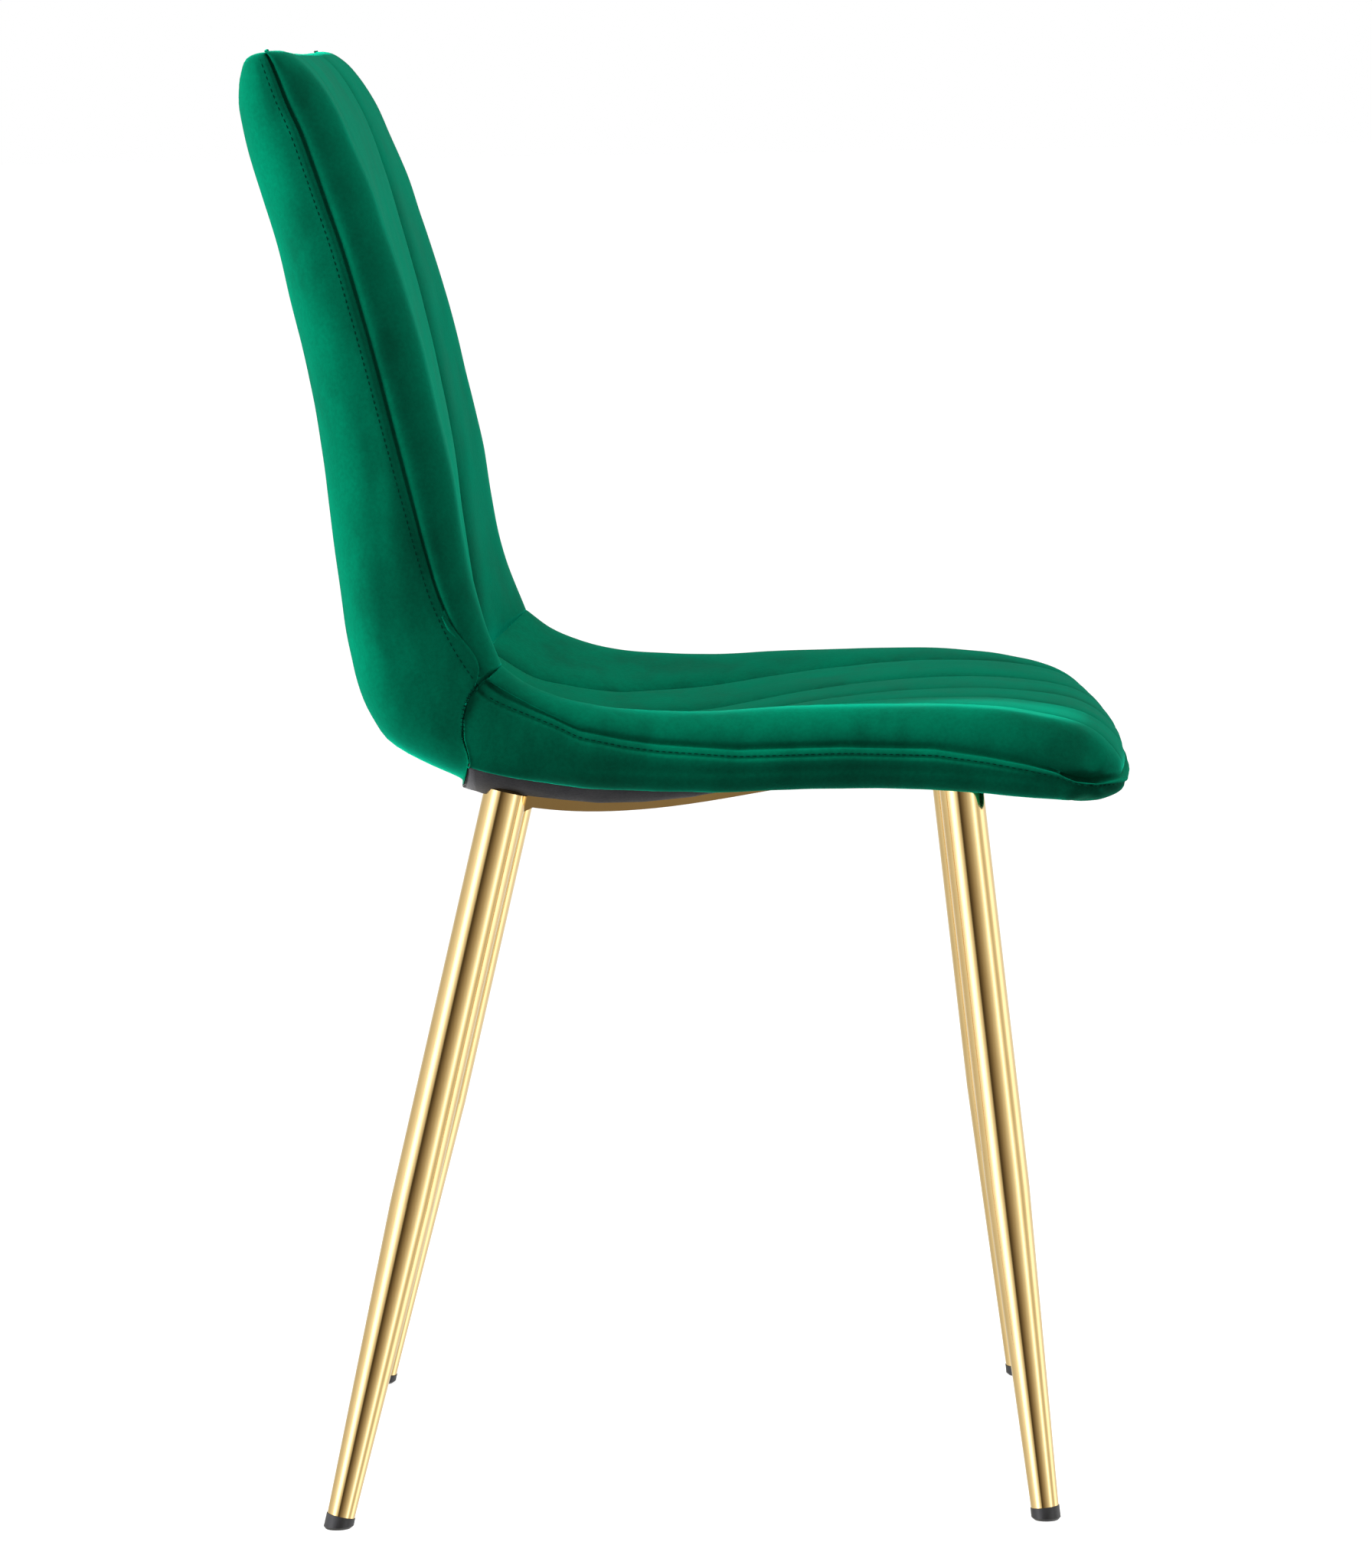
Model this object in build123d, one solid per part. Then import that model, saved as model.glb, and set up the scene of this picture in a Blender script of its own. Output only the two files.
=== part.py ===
"""Upholstered dining chair: a moulded plywood shell padded and covered in velvet, on a welded steel frame.

The frame has four tapered round legs, two bent side rails and two cross bars. Four bolts hold it to the shell.
Millimetres. +X is the way the sitter faces, +Z is up, and the sitter's right side is at -Y. The origin is on the
floor under the middle of the whole chair.
"""

from build123d import *
import math
import os

# ---- upholstered body, side view -------------------------------------------------------------------------------
TOTAL_HEIGHT = 895.0  # floor to the top of the back
SEAT_HEIGHT = 494.0  # floor to the crest of the seat's side bolsters
BODY_WIDTH = 434.0  # across the side panels
FRONT_X = 271.9  # nose of the seat
CREASE_X = -118.0  # where the seat's crest meets the back's crest
CREASE_RISE = 27.0  # crease above the seat's crest
BACK_RAKE = 0.163  # backward run of the back for each mm of rise
BACK_SWEEP = 40.5  # extra backward run at the top, with the rise squared
BACK_THICK = 86.0  # crest to rear face at the crease
BACK_TOP_THICK = 55.2  # the same at the top
BACK_FRONT_ROUND = 40.0  # top edge, front side
BACK_REAR_ROUND = 24.0  # top edge, rear side
HIP_RADIUS = 105.0  # bend from the back's rear face to the underside
SEAT_SIDE_THICK = 50.0  # bolster crest to the side panel's lower edge
SEAM_INBOARD = 24.0  # inside this distance from the side panels all of the front surface is the channelled cover
EDGE_BEVEL = 8.0  # between the crests and the side panels
COVER = 1.5  # velvet with its backing
SEAT_DISH_DEPTH = 24.0  # seat centre below the crests, near the back
SEAT_DISH_RISE = 0.10  # slope of the dish up towards the front
BACK_DISH_DEPTH = 12.0  # back centre behind the crests, near the seat
BACK_DISH_SLOPE = 0.03  # slope of that dish out towards the top
DISH_WIDTH = 360.0  # across the dished surface

# Stations in the side view, as run and height. The seat's crest starts from the crease and ends at the nose.
CREST_FROM_CREASE = ((22.0, 16.0), (65.0, 1.5), (130.0, -1.0))  # run from the crease, height from SEAT_HEIGHT
CREST_FROM_NOSE = ((-145.0, 0.0), (-75.0, -2.0), (-32.0, -15.0), (-10.0, -30.0), (0.0, -48.0))
UNDER_NOSE = ((-8.1, -5.0), (-27.0, -9.0), (-64.8, -7.0), (-155.0, 0.0), (-205.0, 1.0))  # below the side edge
DIVISION = ((0, 0), (-16, -17), (-19.5, -34), (-15, -52), (6, -63), (53, -73), (93, -76), (140, -77))
SEAT_SEAM_REAR = ((29.0, 2.0), (60.0, -12.0), (98.0, -18.0), (160.0, -21.5))  # like CREST_FROM_CREASE
SEAT_SEAM_FRONT = ((-128.0, -23.0), (-73.0, -33.0), (-31.0, -43.0), (20.0, -46.0))  # like CREST_FROM_NOSE
BACK_SEAM_BEHIND = 15.0  # back's main seam behind its crest, at the crease
BACK_SEAM_SLOPE = 0.055  # and how much farther behind for each mm of rise
BACK_SEAM_RETURN = 14.0  # how far it comes back forward towards the top
BLACK_BELOW_CREASE = 58.0  # top of the black cover's turned-up rear edge

# ---- plywood shell ----------------------------------------------------------------------------------------------
PLY = 9.0
SIDE_PAD = 25.0  # side panel to the shell's edge
PLY_WIDTH = BODY_WIDTH - 2 * SIDE_PAD
PLY_BELOW_CREST = 53.5  # seat crest to the lowest point of the shell's underside
PLY_LOW_X = -57.0  # where that lowest point is
PLY_ARCH = 19.5  # rise of the underside from there to its front arch
PLY_ARCH_X = 130.0  # where the arch is highest
PLY_NOSE_DROP = 12.0  # fall from the arch to the front edge
PLY_NOSE_BACK = 48.0  # front edge behind the seat's nose
REAR_PAD = 16.0  # padding behind the shell
PLY_TOP_BACK = 34.0  # shell's top edge below the top of the back

# ---- steel frame ------------------------------------------------------------------------------------------------
LEG_D = 26.5
LEG_TIP_D = 16.6
LEG_WALL = 1.5
LEG_STRAIGHT = 0.56  # share of the leg that isn't tapered
RAIL_INBOARD = 14.0  # shell's edge to the middle of a rail
LEG_INSET = 13.75  # side panel to the outside of the leg's top
LEG_SPLAY = 32.0  # foot outside the leg's top
REAR_LEG_TOP_X = -113.0
REAR_FOOT_X = -222.0
FRONT_LEG_TOP_X = 161.0
FRONT_FOOT_X = 208.0
LEG_ABOVE_RAIL = 7.0  # leg's top end above the underside of the rail
CAP_RISE = 3.0
PLUG_EXPOSED = 8.0
PLUG_STEM = 22.0
PLUG_FLARE = 0.4  # plug proud of the tube all round
PLUG_CHAMFER = 1.6
RAIL_W = 22.0
RAIL_T = 7.0
RAIL_Y = PLY_WIDTH / 2 - RAIL_INBOARD
LEG_TOP_Y = BODY_WIDTH / 2 - LEG_INSET - LEG_D / 2
FOOT_Y = LEG_TOP_Y + LEG_SPLAY
CROSS_W = 24.0
CROSS_T = 5.0
CROSS_X = (-57.0, 130.0)  # rear and front cross bars, where the shell's underside is level
GUSSET = 9.0  # legs of the small triangle under each rail end
GUSSET_T = 5.0
RECESS_MARGIN = 3.0  # padding stands this far off the rails' outer edges
RECESS_REAR = 0.75  # recess goes this far behind the rear legs' tops
DUST = 1.0  # dust cover

# ---- fasteners: M6 ----------------------------------------------------------------------------------------------
BOLT_D = 6.0
BOLT_PLAY = 0.6
BOLT_HOLE_D = BOLT_D + BOLT_PLAY
BOLT_HEAD_D = 10.0
BOLT_HEAD_H = 5.0
HEX_SOCKET = 4.0
BOLT_Y = 95.0  # bolts through the cross bars, from the middle
WASHER_D = 13.0
WASHER_T = 1.4
SPRING_D = 11.0
SPRING_T = 1.6
NUT_WALL = 1.0
NUT_BARREL_D = BOLT_D + 2 * NUT_WALL
NUT_FLANGE_D = 19.0
NUT_FLANGE_T = 1.6
STAPLE_W = 11.0
STAPLE_D = 1.2
STAPLE_PITCH = 34.0

GAP = 0.25  # between pieces that only touch
SHEET_DEPTH = DUST + 2 * GAP  # shell's underside to the top of the frame's bars
SIDES = {"right": -1.0, "left": 1.0}

CREASE_Z = SEAT_HEIGHT + CREASE_RISE
HALF_W = BODY_WIDTH / 2
BACK_RISE = TOTAL_HEIGHT - CREASE_Z
BACK_CURVE = BACK_SWEEP / BACK_RISE**2
BACK_TAPER = (BACK_THICK - BACK_TOP_THICK) / BACK_RISE**2
SIDE_EDGE_Z = SEAT_HEIGHT - SEAT_SIDE_THICK
PLY_LOW_Z = SEAT_HEIGHT - PLY_BELOW_CREST


def write(node, shape):
    shape.label = node
    export_step(shape, f"parts/{node}.step")


def xz(points):
    return [Vector(x, 0, z) for x, z in points]


def smooth(points):
    return Spline(*xz(points))


def region(edges):
    """A face in the side view from edges that join end to end."""
    return make_face(Wire(edges))


def across(face, low_y, high_y):
    """The side-view face carried from one y to another."""
    return Pos(0, low_y, 0) * extrude(face, high_y - low_y, dir=(0, 1, 0))


def back_front_x(rise):
    return CREASE_X - BACK_RAKE * rise - BACK_CURVE * rise**2


def back_rear_x(rise):
    return back_front_x(rise) - BACK_THICK + BACK_TAPER * rise**2


def hip():
    """Centre of the bend and the rise at which the straight rear face starts."""
    centre_z = PLY_LOW_Z - DUST + HIP_RADIUS
    return back_rear_x(centre_z - CREASE_Z) + HIP_RADIUS, centre_z


def from_crease(stations):
    return [(CREASE_X + run, SEAT_HEIGHT + rise) for run, rise in stations]


def from_nose(stations, height):
    return [(FRONT_X + run, height + rise) for run, rise in stations]


def outline_runs():
    """The body's side outline, as runs of points that share their ends, from the crease forwards and round."""
    seat = [(CREASE_X, CREASE_Z)] + from_crease(CREST_FROM_CREASE) + from_nose(CREST_FROM_NOSE, SEAT_HEIGHT)
    nose = [seat[-1]] + from_nose(UNDER_NOSE, SIDE_EDGE_Z)
    centre_x, centre_z = hip()
    under_z = PLY_LOW_Z - DUST
    nose += [(PLY_LOW_X + 50, under_z + 2), (PLY_LOW_X, under_z), (centre_x, under_z)]
    bend = [(centre_x - HIP_RADIUS * math.sin(a), centre_z - HIP_RADIUS * math.cos(a))
            for a in (math.radians(90 * i / 6) for i in range(7))]
    start = centre_z - CREASE_Z
    rear = [bend[-1]]
    stop = BACK_RISE - BACK_REAR_ROUND
    for i in range(1, 7):
        rise = start + (stop - start) * i / 6
        rear.append((back_rear_x(rise), CREASE_Z + rise))
    top = [rear[-1]]
    rear_x = back_rear_x(BACK_RISE)
    top += [(rear_x + 0.25 * BACK_REAR_ROUND, TOTAL_HEIGHT - 0.3 * BACK_REAR_ROUND)]
    top += [(rear_x + BACK_REAR_ROUND, TOTAL_HEIGHT)]
    front_rise = BACK_RISE - BACK_FRONT_ROUND
    top += [(back_front_x(BACK_RISE) - 0.35 * BACK_FRONT_ROUND, TOTAL_HEIGHT - 0.25 * BACK_FRONT_ROUND)]
    top += [(back_front_x(front_rise), CREASE_Z + front_rise)]
    front = [top[-1]]
    for i in range(1, 6):
        rise = front_rise * (1 - i / 6)
        front.append((back_front_x(rise), CREASE_Z + rise))
    front.append(seat[0])
    return [seat, nose, bend, rear, top, front]


def inset_runs(runs, depth):
    """The same runs moved inwards; where two runs meet, both use the mean of their directions."""
    ring = [p for run in runs for p in run[:-1]]
    count = len(ring)
    moved = []
    for i, (x, z) in enumerate(ring):
        before, after = ring[i - 1], ring[(i + 1) % count]
        a = (x - before[0], z - before[1])
        b = (after[0] - x, after[1] - z)
        la, lb = math.hypot(*a), math.hypot(*b)
        na, nb = (a[1] / la, -a[0] / la), (b[1] / lb, -b[0] / lb)
        share = 1 + na[0] * nb[0] + na[1] * nb[1]
        moved.append((x + depth * (na[0] + nb[0]) / share, z + depth * (na[1] + nb[1]) / share))
    out, at = [], 0
    for run in runs:
        span = len(run) - 1
        out.append([moved[(at + k) % count] for k in range(span + 1)])
        at += span
    return out


def body_solid(skin):
    """The whole upholstered body with bevelled side edges, skin millimetres inside its outer surface."""
    face = region([smooth(run) for run in inset_runs(outline_runs(), skin)])
    solid = across(face, skin - HALF_W, HALF_W - skin)
    ends = [edge for end in solid.faces().filter_by(Axis.Y) for edge in end.edges()]
    seat = everywhere(seat_region())
    return chamfer(ends, EDGE_BEVEL) - (seat_dish(skin) & seat) - (back_dish(skin) - seat)


def dish_radius(depth):
    return ((DISH_WIDTH / 2) ** 2 + depth**2) / (2 * depth)


def seat_dish(skin):
    """A long cylinder that hollows the seat between its bolsters and runs out towards the front."""
    radius = dish_radius(SEAT_DISH_DEPTH)
    tilt = math.degrees(math.atan(SEAT_DISH_RISE))
    low = Pos(CREASE_X + 60, 0, SEAT_HEIGHT - SEAT_DISH_DEPTH) * Rot(0, -tilt, 0)
    return low * Pos(150, 0, radius) * Rot(0, 90, 0) * Cylinder(radius + skin, 420)


def back_dish(skin):
    """The same for the back, deepest low down."""
    radius = dish_radius(BACK_DISH_DEPTH)
    tilt = math.degrees(math.atan(BACK_RAKE + 0.5 * BACK_CURVE * BACK_RISE + BACK_DISH_SLOPE))
    foot = Pos(back_front_x(40) - BACK_DISH_DEPTH, 0, CREASE_Z + 40) * Rot(0, -tilt, 0)
    return foot * Pos(radius, 0, BACK_RISE / 2) * Cylinder(radius + skin, BACK_RISE + 160)


def under_z(x):
    """Height of the shell's underside where it is under the seat."""
    if x > PLY_ARCH_X:
        nose = FRONT_X - PLY_NOSE_BACK
        return PLY_LOW_Z + PLY_ARCH - PLY_NOSE_DROP * ((x - PLY_ARCH_X) / (nose - PLY_ARCH_X)) ** 2
    if x > PLY_LOW_X:
        turn = math.pi * (x - PLY_LOW_X) / (PLY_ARCH_X - PLY_LOW_X)
        return PLY_LOW_Z + PLY_ARCH * (1 - math.cos(turn)) / 2
    return PLY_LOW_Z + 0.0019 * (x - PLY_LOW_X) ** 2


def under_run(low_x, high_x, drop, count=13):
    """Points drop millimetres below the shell's underside, square to it."""
    run = []
    for i in range(count):
        x = low_x + (high_x - low_x) * i / (count - 1)
        slope = (under_z(x + 0.5) - under_z(x - 0.5)) / 1.0
        scale = drop / math.hypot(slope, 1)
        run.append((x + slope * scale, under_z(x) - scale))
    return run


def shell_line(lift):
    """The shell's underside and rear face as one run from its front edge to its top, lift above or before it."""
    nose = FRONT_X - PLY_NOSE_BACK
    run = under_run(PLY_LOW_X - 40, nose, -lift, 13)[::-1]
    centre_x, centre_z = hip()
    radius = HIP_RADIUS - REAR_PAD - lift
    for degrees in (40, 57, 74, 90):
        a = math.radians(degrees)
        run.append((centre_x - radius * math.sin(a), centre_z - radius * math.cos(a)))
    low, high = centre_z - CREASE_Z, BACK_RISE - PLY_TOP_BACK
    for i in range(1, 6):
        rise = low + (high - low) * i / 5
        run.append((back_rear_x(rise) + REAR_PAD + lift, CREASE_Z + rise))
    return run


def beyond_shell():
    """Side-view region below and behind the middle of the shell, far past the body on every side."""
    middle = shell_line(PLY / 2)
    top, nose = middle[-1], middle[0]
    far = 4 * FRONT_X
    tail = [top, (top[0], far), (-far, far), (-far, -far), (far, -far), (far, nose[1] - 4), (nose[0], nose[1])]
    lines = [Line(*xz([a, b])) for a, b in zip(tail, tail[1:])]
    return region([smooth(middle)] + lines)


def shell_band():
    low, high = shell_line(0), shell_line(PLY)
    return region([smooth(low), Line(*xz([low[-1], high[-1]])), smooth(high), Line(*xz([high[0], low[0]]))])


def division_run():
    """Edge of the seat's side panel against the back's, from the crease down and forward along the underside."""
    return [(CREASE_X + run, CREASE_Z + rise) for run, rise in DIVISION]


def seat_region():
    """Side-view region of the seat's upholstery, far past the body in front, above and below."""
    run = division_run()
    far = 4 * FRONT_X
    tail = [run[-1], (run[-1][0], -far), (far, -far), (far, far), (CREASE_X, far), run[0]]
    return region([smooth(run)] + [Line(*xz([a, b])) for a, b in zip(tail, tail[1:])])


def seat_seam_region():
    """Above the seat's main seam."""
    run = [(CREASE_X - 6, CREASE_Z - 5)] + from_crease(SEAT_SEAM_REAR) + from_nose(SEAT_SEAM_FRONT, SEAT_HEIGHT)
    far = 4 * FRONT_X
    tail = [run[-1], (far, run[-1][1]), (far, far), (-far, far), (-far, run[0][1]), run[0]]
    return region([smooth(run)] + [Line(*xz([a, b])) for a, b in zip(tail, tail[1:])])


def back_seam_region():
    """In front of the back's main seam."""
    run = [(CREASE_X - 7, CREASE_Z - 4)]
    for share in (0.05, 0.12, 0.3, 0.5, 0.7, 0.82, 0.92, 1.0):
        rise = share * BACK_RISE
        behind = BACK_SEAM_BEHIND + BACK_SEAM_SLOPE * rise - BACK_SEAM_RETURN * max(0.0, share - 0.7) ** 0.5
        run.append((back_front_x(rise) - behind, CREASE_Z + rise))
    far = 4 * FRONT_X
    tail = [run[-1], (run[-1][0] - 10, far), (far, far), (far, -far), (run[0][0], -far), run[0]]
    return region([smooth(run)] + [Line(*xz([a, b])) for a, b in zip(tail, tail[1:])])


def everywhere(face):
    return across(face, -2 * BODY_WIDTH, 2 * BODY_WIDTH)


# ---- frame --------------------------------------------------------------------------------------------------------


def leg_axis(row, side):
    """Top and floor points of a leg's axis."""
    top_x, foot_x = (REAR_LEG_TOP_X, REAR_FOOT_X) if row == "rear" else (FRONT_LEG_TOP_X, FRONT_FOOT_X)
    top_z = under_z(top_x) - SHEET_DEPTH - RAIL_T + LEG_ABOVE_RAIL
    return Vector(top_x, side * LEG_TOP_Y, top_z), Vector(foot_x, side * FOOT_Y, 0)


def on_leg(row, side):
    """Place whose origin is the leg's top and whose z axis runs down the leg, and the leg's whole length."""
    top, foot = leg_axis(row, side)
    return Plane(origin=top, z_dir=foot - top).location, (foot - top).length


def turned(points):
    """Solid of revolution about z from (radius, z) corners."""
    return revolve(make_face(Polyline(*[(r, 0, z) for r, z in points], close=True)), Axis.Z)


def tube_length(row, side):
    return on_leg(row, side)[1] - PLUG_EXPOSED


def leg_envelope(row, side, grow):
    """The leg's outer shape as a solid, grown all round."""
    place, length = on_leg(row, side)
    straight = LEG_STRAIGHT * length
    big, small = LEG_D / 2 + grow, LEG_TIP_D / 2 + grow
    end = length + grow
    return place * turned([(0, -CAP_RISE - grow), (big, -CAP_RISE - grow), (big, straight), (small, end), (0, end)])


def leg(row, side):
    place, length = on_leg(row, side)
    straight, end = LEG_STRAIGHT * length, tube_length(row, side)
    big = LEG_D / 2
    slope = (big - LEG_TIP_D / 2) / (length - straight)
    tip = big - slope * (end - straight)
    outer = [(big - LEG_WALL, 0), (big, 0), (big, straight), (tip, end)]
    return place * turned(outer + [(tip - LEG_WALL, end), (big - LEG_WALL, straight)])


def leg_cap(row, side):
    """Domed disc that closes the leg's top end, with a lip inside the tube."""
    place, _ = on_leg(row, side)
    r = LEG_D / 2
    inner = r - LEG_WALL - GAP
    dome = [(0, -CAP_RISE), (0.55 * r, -0.85 * CAP_RISE), (0.86 * r, -0.5 * CAP_RISE), (r, -GAP / 2)]
    return place * turned(dome + [(r, 0), (inner, 0), (inner, 6), (0, 6)])


def foot_plug(row, side):
    """Plug with a stem in the tube and a foot cut flat at the floor."""
    place, length = on_leg(row, side)
    straight, end = LEG_STRAIGHT * length, tube_length(row, side)
    slope = (LEG_D - LEG_TIP_D) / 2 / (length - straight)
    tip = LEG_D / 2 - slope * (end - straight)
    foot_r = tip + PLUG_FLARE
    stem = tip - LEG_WALL - GAP
    low = length + LEG_TIP_D
    body = turned([(0, end - PLUG_STEM), (stem, end - PLUG_STEM), (stem, end), (foot_r, end), (foot_r, low), (0, low)])
    floor_cut = Pos(0, 0, -100) * Box(4 * TOTAL_HEIGHT, 4 * TOTAL_HEIGHT, 200)
    plug = place * body - floor_cut
    edges = plug.faces().sort_by(Axis.Z)[0].edges()
    return chamfer(edges, PLUG_CHAMFER)


def bar(low_x, high_x, drop, thick):
    """Side-view face of a flat bar that follows the shell's underside."""
    upper, lower = under_run(low_x, high_x, drop), under_run(low_x, high_x, drop + thick)
    ends = [Line(*xz([upper[-1], lower[-1]])), Line(*xz([lower[0], upper[0]]))]
    return region([smooth(upper), ends[0], smooth(lower), ends[1]])


def side_rail(side):
    face = bar(REAR_LEG_TOP_X - 6, FRONT_LEG_TOP_X + 4, SHEET_DEPTH, RAIL_T)
    rail = across(face, side * RAIL_Y - RAIL_W / 2, side * RAIL_Y + RAIL_W / 2)
    for row in ("rear", "front"):
        rail -= leg_envelope(row, side, 0)
    return only_big(rail)


def cross_bar(x):
    reach = RAIL_Y - RAIL_W / 2
    face = bar(x - CROSS_W / 2, x + CROSS_W / 2, SHEET_DEPTH, CROSS_T)
    return across(face, -reach, reach) - bolt_holes()


def gusset(row, side):
    """Small triangle welded under the rail's end, against the leg."""
    top, foot = leg_axis(row, side)
    inward = 1 if row == "rear" else -1
    lean = (foot.X - top.X) / (top.Z - foot.Z)
    x = top.X
    rail_low = under_z(x + inward * LEG_D / 2) - SHEET_DEPTH - RAIL_T
    z = rail_low + 2
    reach = LEG_D / 2 + GUSSET
    corners = [(x, z), (x + inward * reach, z), (x + lean * GUSSET, rail_low - GUSSET), (x, rail_low - GUSSET)]
    face = region([Line(*xz([a, b])) for a, b in zip(corners, corners[1:] + corners[:1])])
    y = side * (LEG_TOP_Y - 6)
    plate = across(face, y - GUSSET_T / 2, y + GUSSET_T / 2)
    return only_big(plate - leg_envelope(row, side, 0) - side_rail(side))


# ---- fasteners ----------------------------------------------------------------------------------------------------


def bolt_spots():
    """Bolt axes: x, y and the height of the shell's underside there."""
    return [(x, side * BOLT_Y, under_z(x)) for x in CROSS_X for side in SIDES.values()]


def stack(kind):
    """One of the pieces on every bolt axis, as separate solids."""
    solids = []
    for x, y, z in bolt_spots():
        washer_low = z - SHEET_DEPTH - CROSS_T - GAP - WASHER_T
        spring_low = washer_low - SPRING_T
        head_low = spring_low - BOLT_HEAD_H
        nut_top = z + PLY + GAP + NUT_FLANGE_T
        if kind == "bolt":
            shank = Cylinder(BOLT_D / 2, nut_top - spring_low, align=(Align.CENTER, Align.CENTER, Align.MIN))
            head = Cylinder(BOLT_HEAD_D / 2, BOLT_HEAD_H, align=(Align.CENTER, Align.CENTER, Align.MIN))
            socket = extrude(RegularPolygon(HEX_SOCKET / 2, 6, major_radius=False), 0.6 * BOLT_HEAD_H)
            piece = Pos(x, y, spring_low) * shank + Pos(x, y, head_low) * (head - socket)
        elif kind == "washer":
            piece = Pos(x, y, washer_low) * ring(WASHER_D, BOLT_HOLE_D, WASHER_T)
        elif kind == "spring":
            slit = Pos(SPRING_D / 2, 0, 0) * Rot(0, 0, 12) * Box(SPRING_D, 1.0, 4 * SPRING_T)
            piece = Pos(x, y, spring_low) * (ring(SPRING_D, BOLT_HOLE_D, SPRING_T) - slit)
        else:
            barrel = Pos(0, 0, -PLY + 1.5) * ring(NUT_BARREL_D, BOLT_D + 2 * GAP, PLY - 1.5)
            flange = ring(NUT_FLANGE_D, BOLT_D + 2 * GAP, NUT_FLANGE_T)
            piece = Pos(x, y, z + PLY + GAP) * (barrel + flange)
        solids += piece.solids()
    return Compound(solids)


def ring(outside, inside, height):
    low = (Align.CENTER, Align.CENTER, Align.MIN)
    return Cylinder(outside / 2, height, align=low) - Cylinder(inside / 2, height, align=low)


def pillars(diameter, low, high):
    """Vertical cylinders on the bolt axes, from low to high about the shell's underside."""
    made = []
    for x, y, z in bolt_spots():
        made.append(Pos(x, y, z + (low + high) / 2) * Cylinder(diameter / 2, high - low))
    return made


def bolt_holes():
    return pillars(BOLT_HOLE_D, -60, 60)


def staples():
    """Crowns of the staples that hold the dust cover along its side edges and front."""
    made = []
    edge_y = RAIL_Y - RAIL_W / 2 - 10
    span = PLY_ARCH_X - PLY_LOW_X
    count = int(span / STAPLE_PITCH)
    for i in range(count):
        x = PLY_LOW_X + 24 + STAPLE_PITCH * i
        if any(abs(x - cross) < CROSS_W / 2 + STAPLE_W for cross in CROSS_X):
            continue
        tilt = math.degrees(math.atan(under_z(x + 0.5) - under_z(x - 0.5)))
        for side in SIDES.values():
            z = under_z(x) - SHEET_DEPTH - STAPLE_D / 2
            made.append(Pos(x, side * edge_y, z) * Rot(0, -tilt, 0) * Box(STAPLE_W, STAPLE_D, STAPLE_D))
    return Compound([solid for piece in made for solid in piece.solids()])


# ---- the whole chair ----------------------------------------------------------------------------------------------


def frame_clearances():
    """What the padding and the covers leave free: the rails' recess and a pocket round each leg's top."""
    reach = RAIL_Y + RAIL_W / 2 + RECESS_MARGIN
    run = under_run(REAR_LEG_TOP_X - LEG_D / 2 - RECESS_REAR, FRONT_X - PLY_NOSE_BACK - 2, 0, 13)
    low = (run[-1][0], -100), (run[0][0], -100)
    lines = [Line(*xz([run[-1], low[0]])), Line(*xz([low[0], low[1]])), Line(*xz([low[1], run[0]]))]
    made = [across(region([smooth(run)] + lines), -reach, reach)]
    for row in ("rear", "front"):
        for side in SIDES.values():
            made.append(leg_envelope(row, side, 0.6))
    return made


def only_big(shape):
    """Largest solid of a cut, without the crumbs that the cut leaves."""
    return max(shape.solids(), key=lambda s: s.volume)


def upholstery():
    """Shell, foams, padding and covers by node name."""
    clear = frame_clearances()
    outer, inner = body_solid(0) - clear, body_solid(COVER) - clear
    skin = outer - inner
    seat, behind = everywhere(seat_region()), everywhere(beyond_shell())
    middle = Box(8 * FRONT_X, BODY_WIDTH - 2 * SEAM_INBOARD, 4 * TOTAL_HEIGHT) - behind
    seat_top = everywhere(seat_seam_region()) + middle
    back_front = everywhere(back_seam_region()) + middle
    nut_bores = pillars(NUT_BARREL_D + 2 * GAP, -60, PLY + 5)
    shell = across(shell_band(), -PLY_WIDTH / 2, PLY_WIDTH / 2) - nut_bores
    spot_faces = pillars(NUT_FLANGE_D + 1, PLY, PLY + 4)
    nut_room = pillars(NUT_FLANGE_D + 1, PLY - 1, PLY + GAP + NUT_FLANGE_T + 0.5)
    front_pad = inner - behind - shell - nut_room
    rear_pad = (inner & behind) - shell - nut_bores
    seat_skin, back_skin = skin & seat, skin - seat
    black = Pos(CREASE_X - 20 + FRONT_X, 0, 0) * Box(2 * FRONT_X, 4 * BODY_WIDTH, 2 * (CREASE_Z - BLACK_BELOW_CREASE))
    back_rear = back_skin - back_front
    sheet_reach = RAIL_Y + RAIL_W / 2
    sheet = bar(REAR_LEG_TOP_X + 1.25 - LEG_D / 2, FRONT_X - PLY_NOSE_BACK - 6, GAP, DUST)
    sheet = across(sheet, -sheet_reach, sheet_reach) - bolt_holes() - clear[1:]
    dust_cover = Compound([only_big(sheet)] + (back_rear & black).solids())
    return {
        "plywood_shell": only_big(shell - spot_faces - clear[1:]),
        "seat_foam": only_big(front_pad & seat),
        "back_foam": only_big(front_pad - seat),
        "rear_padding": only_big(rear_pad),
        "seat_cover_top": only_big(seat_skin & seat_top),
        "seat_cover_side": seat_skin - seat_top,
        "back_cover_front": only_big(back_skin & back_front),
        "back_cover_rear": only_big(back_rear - black),
        "dust_cover": dust_cover,
    }


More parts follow.
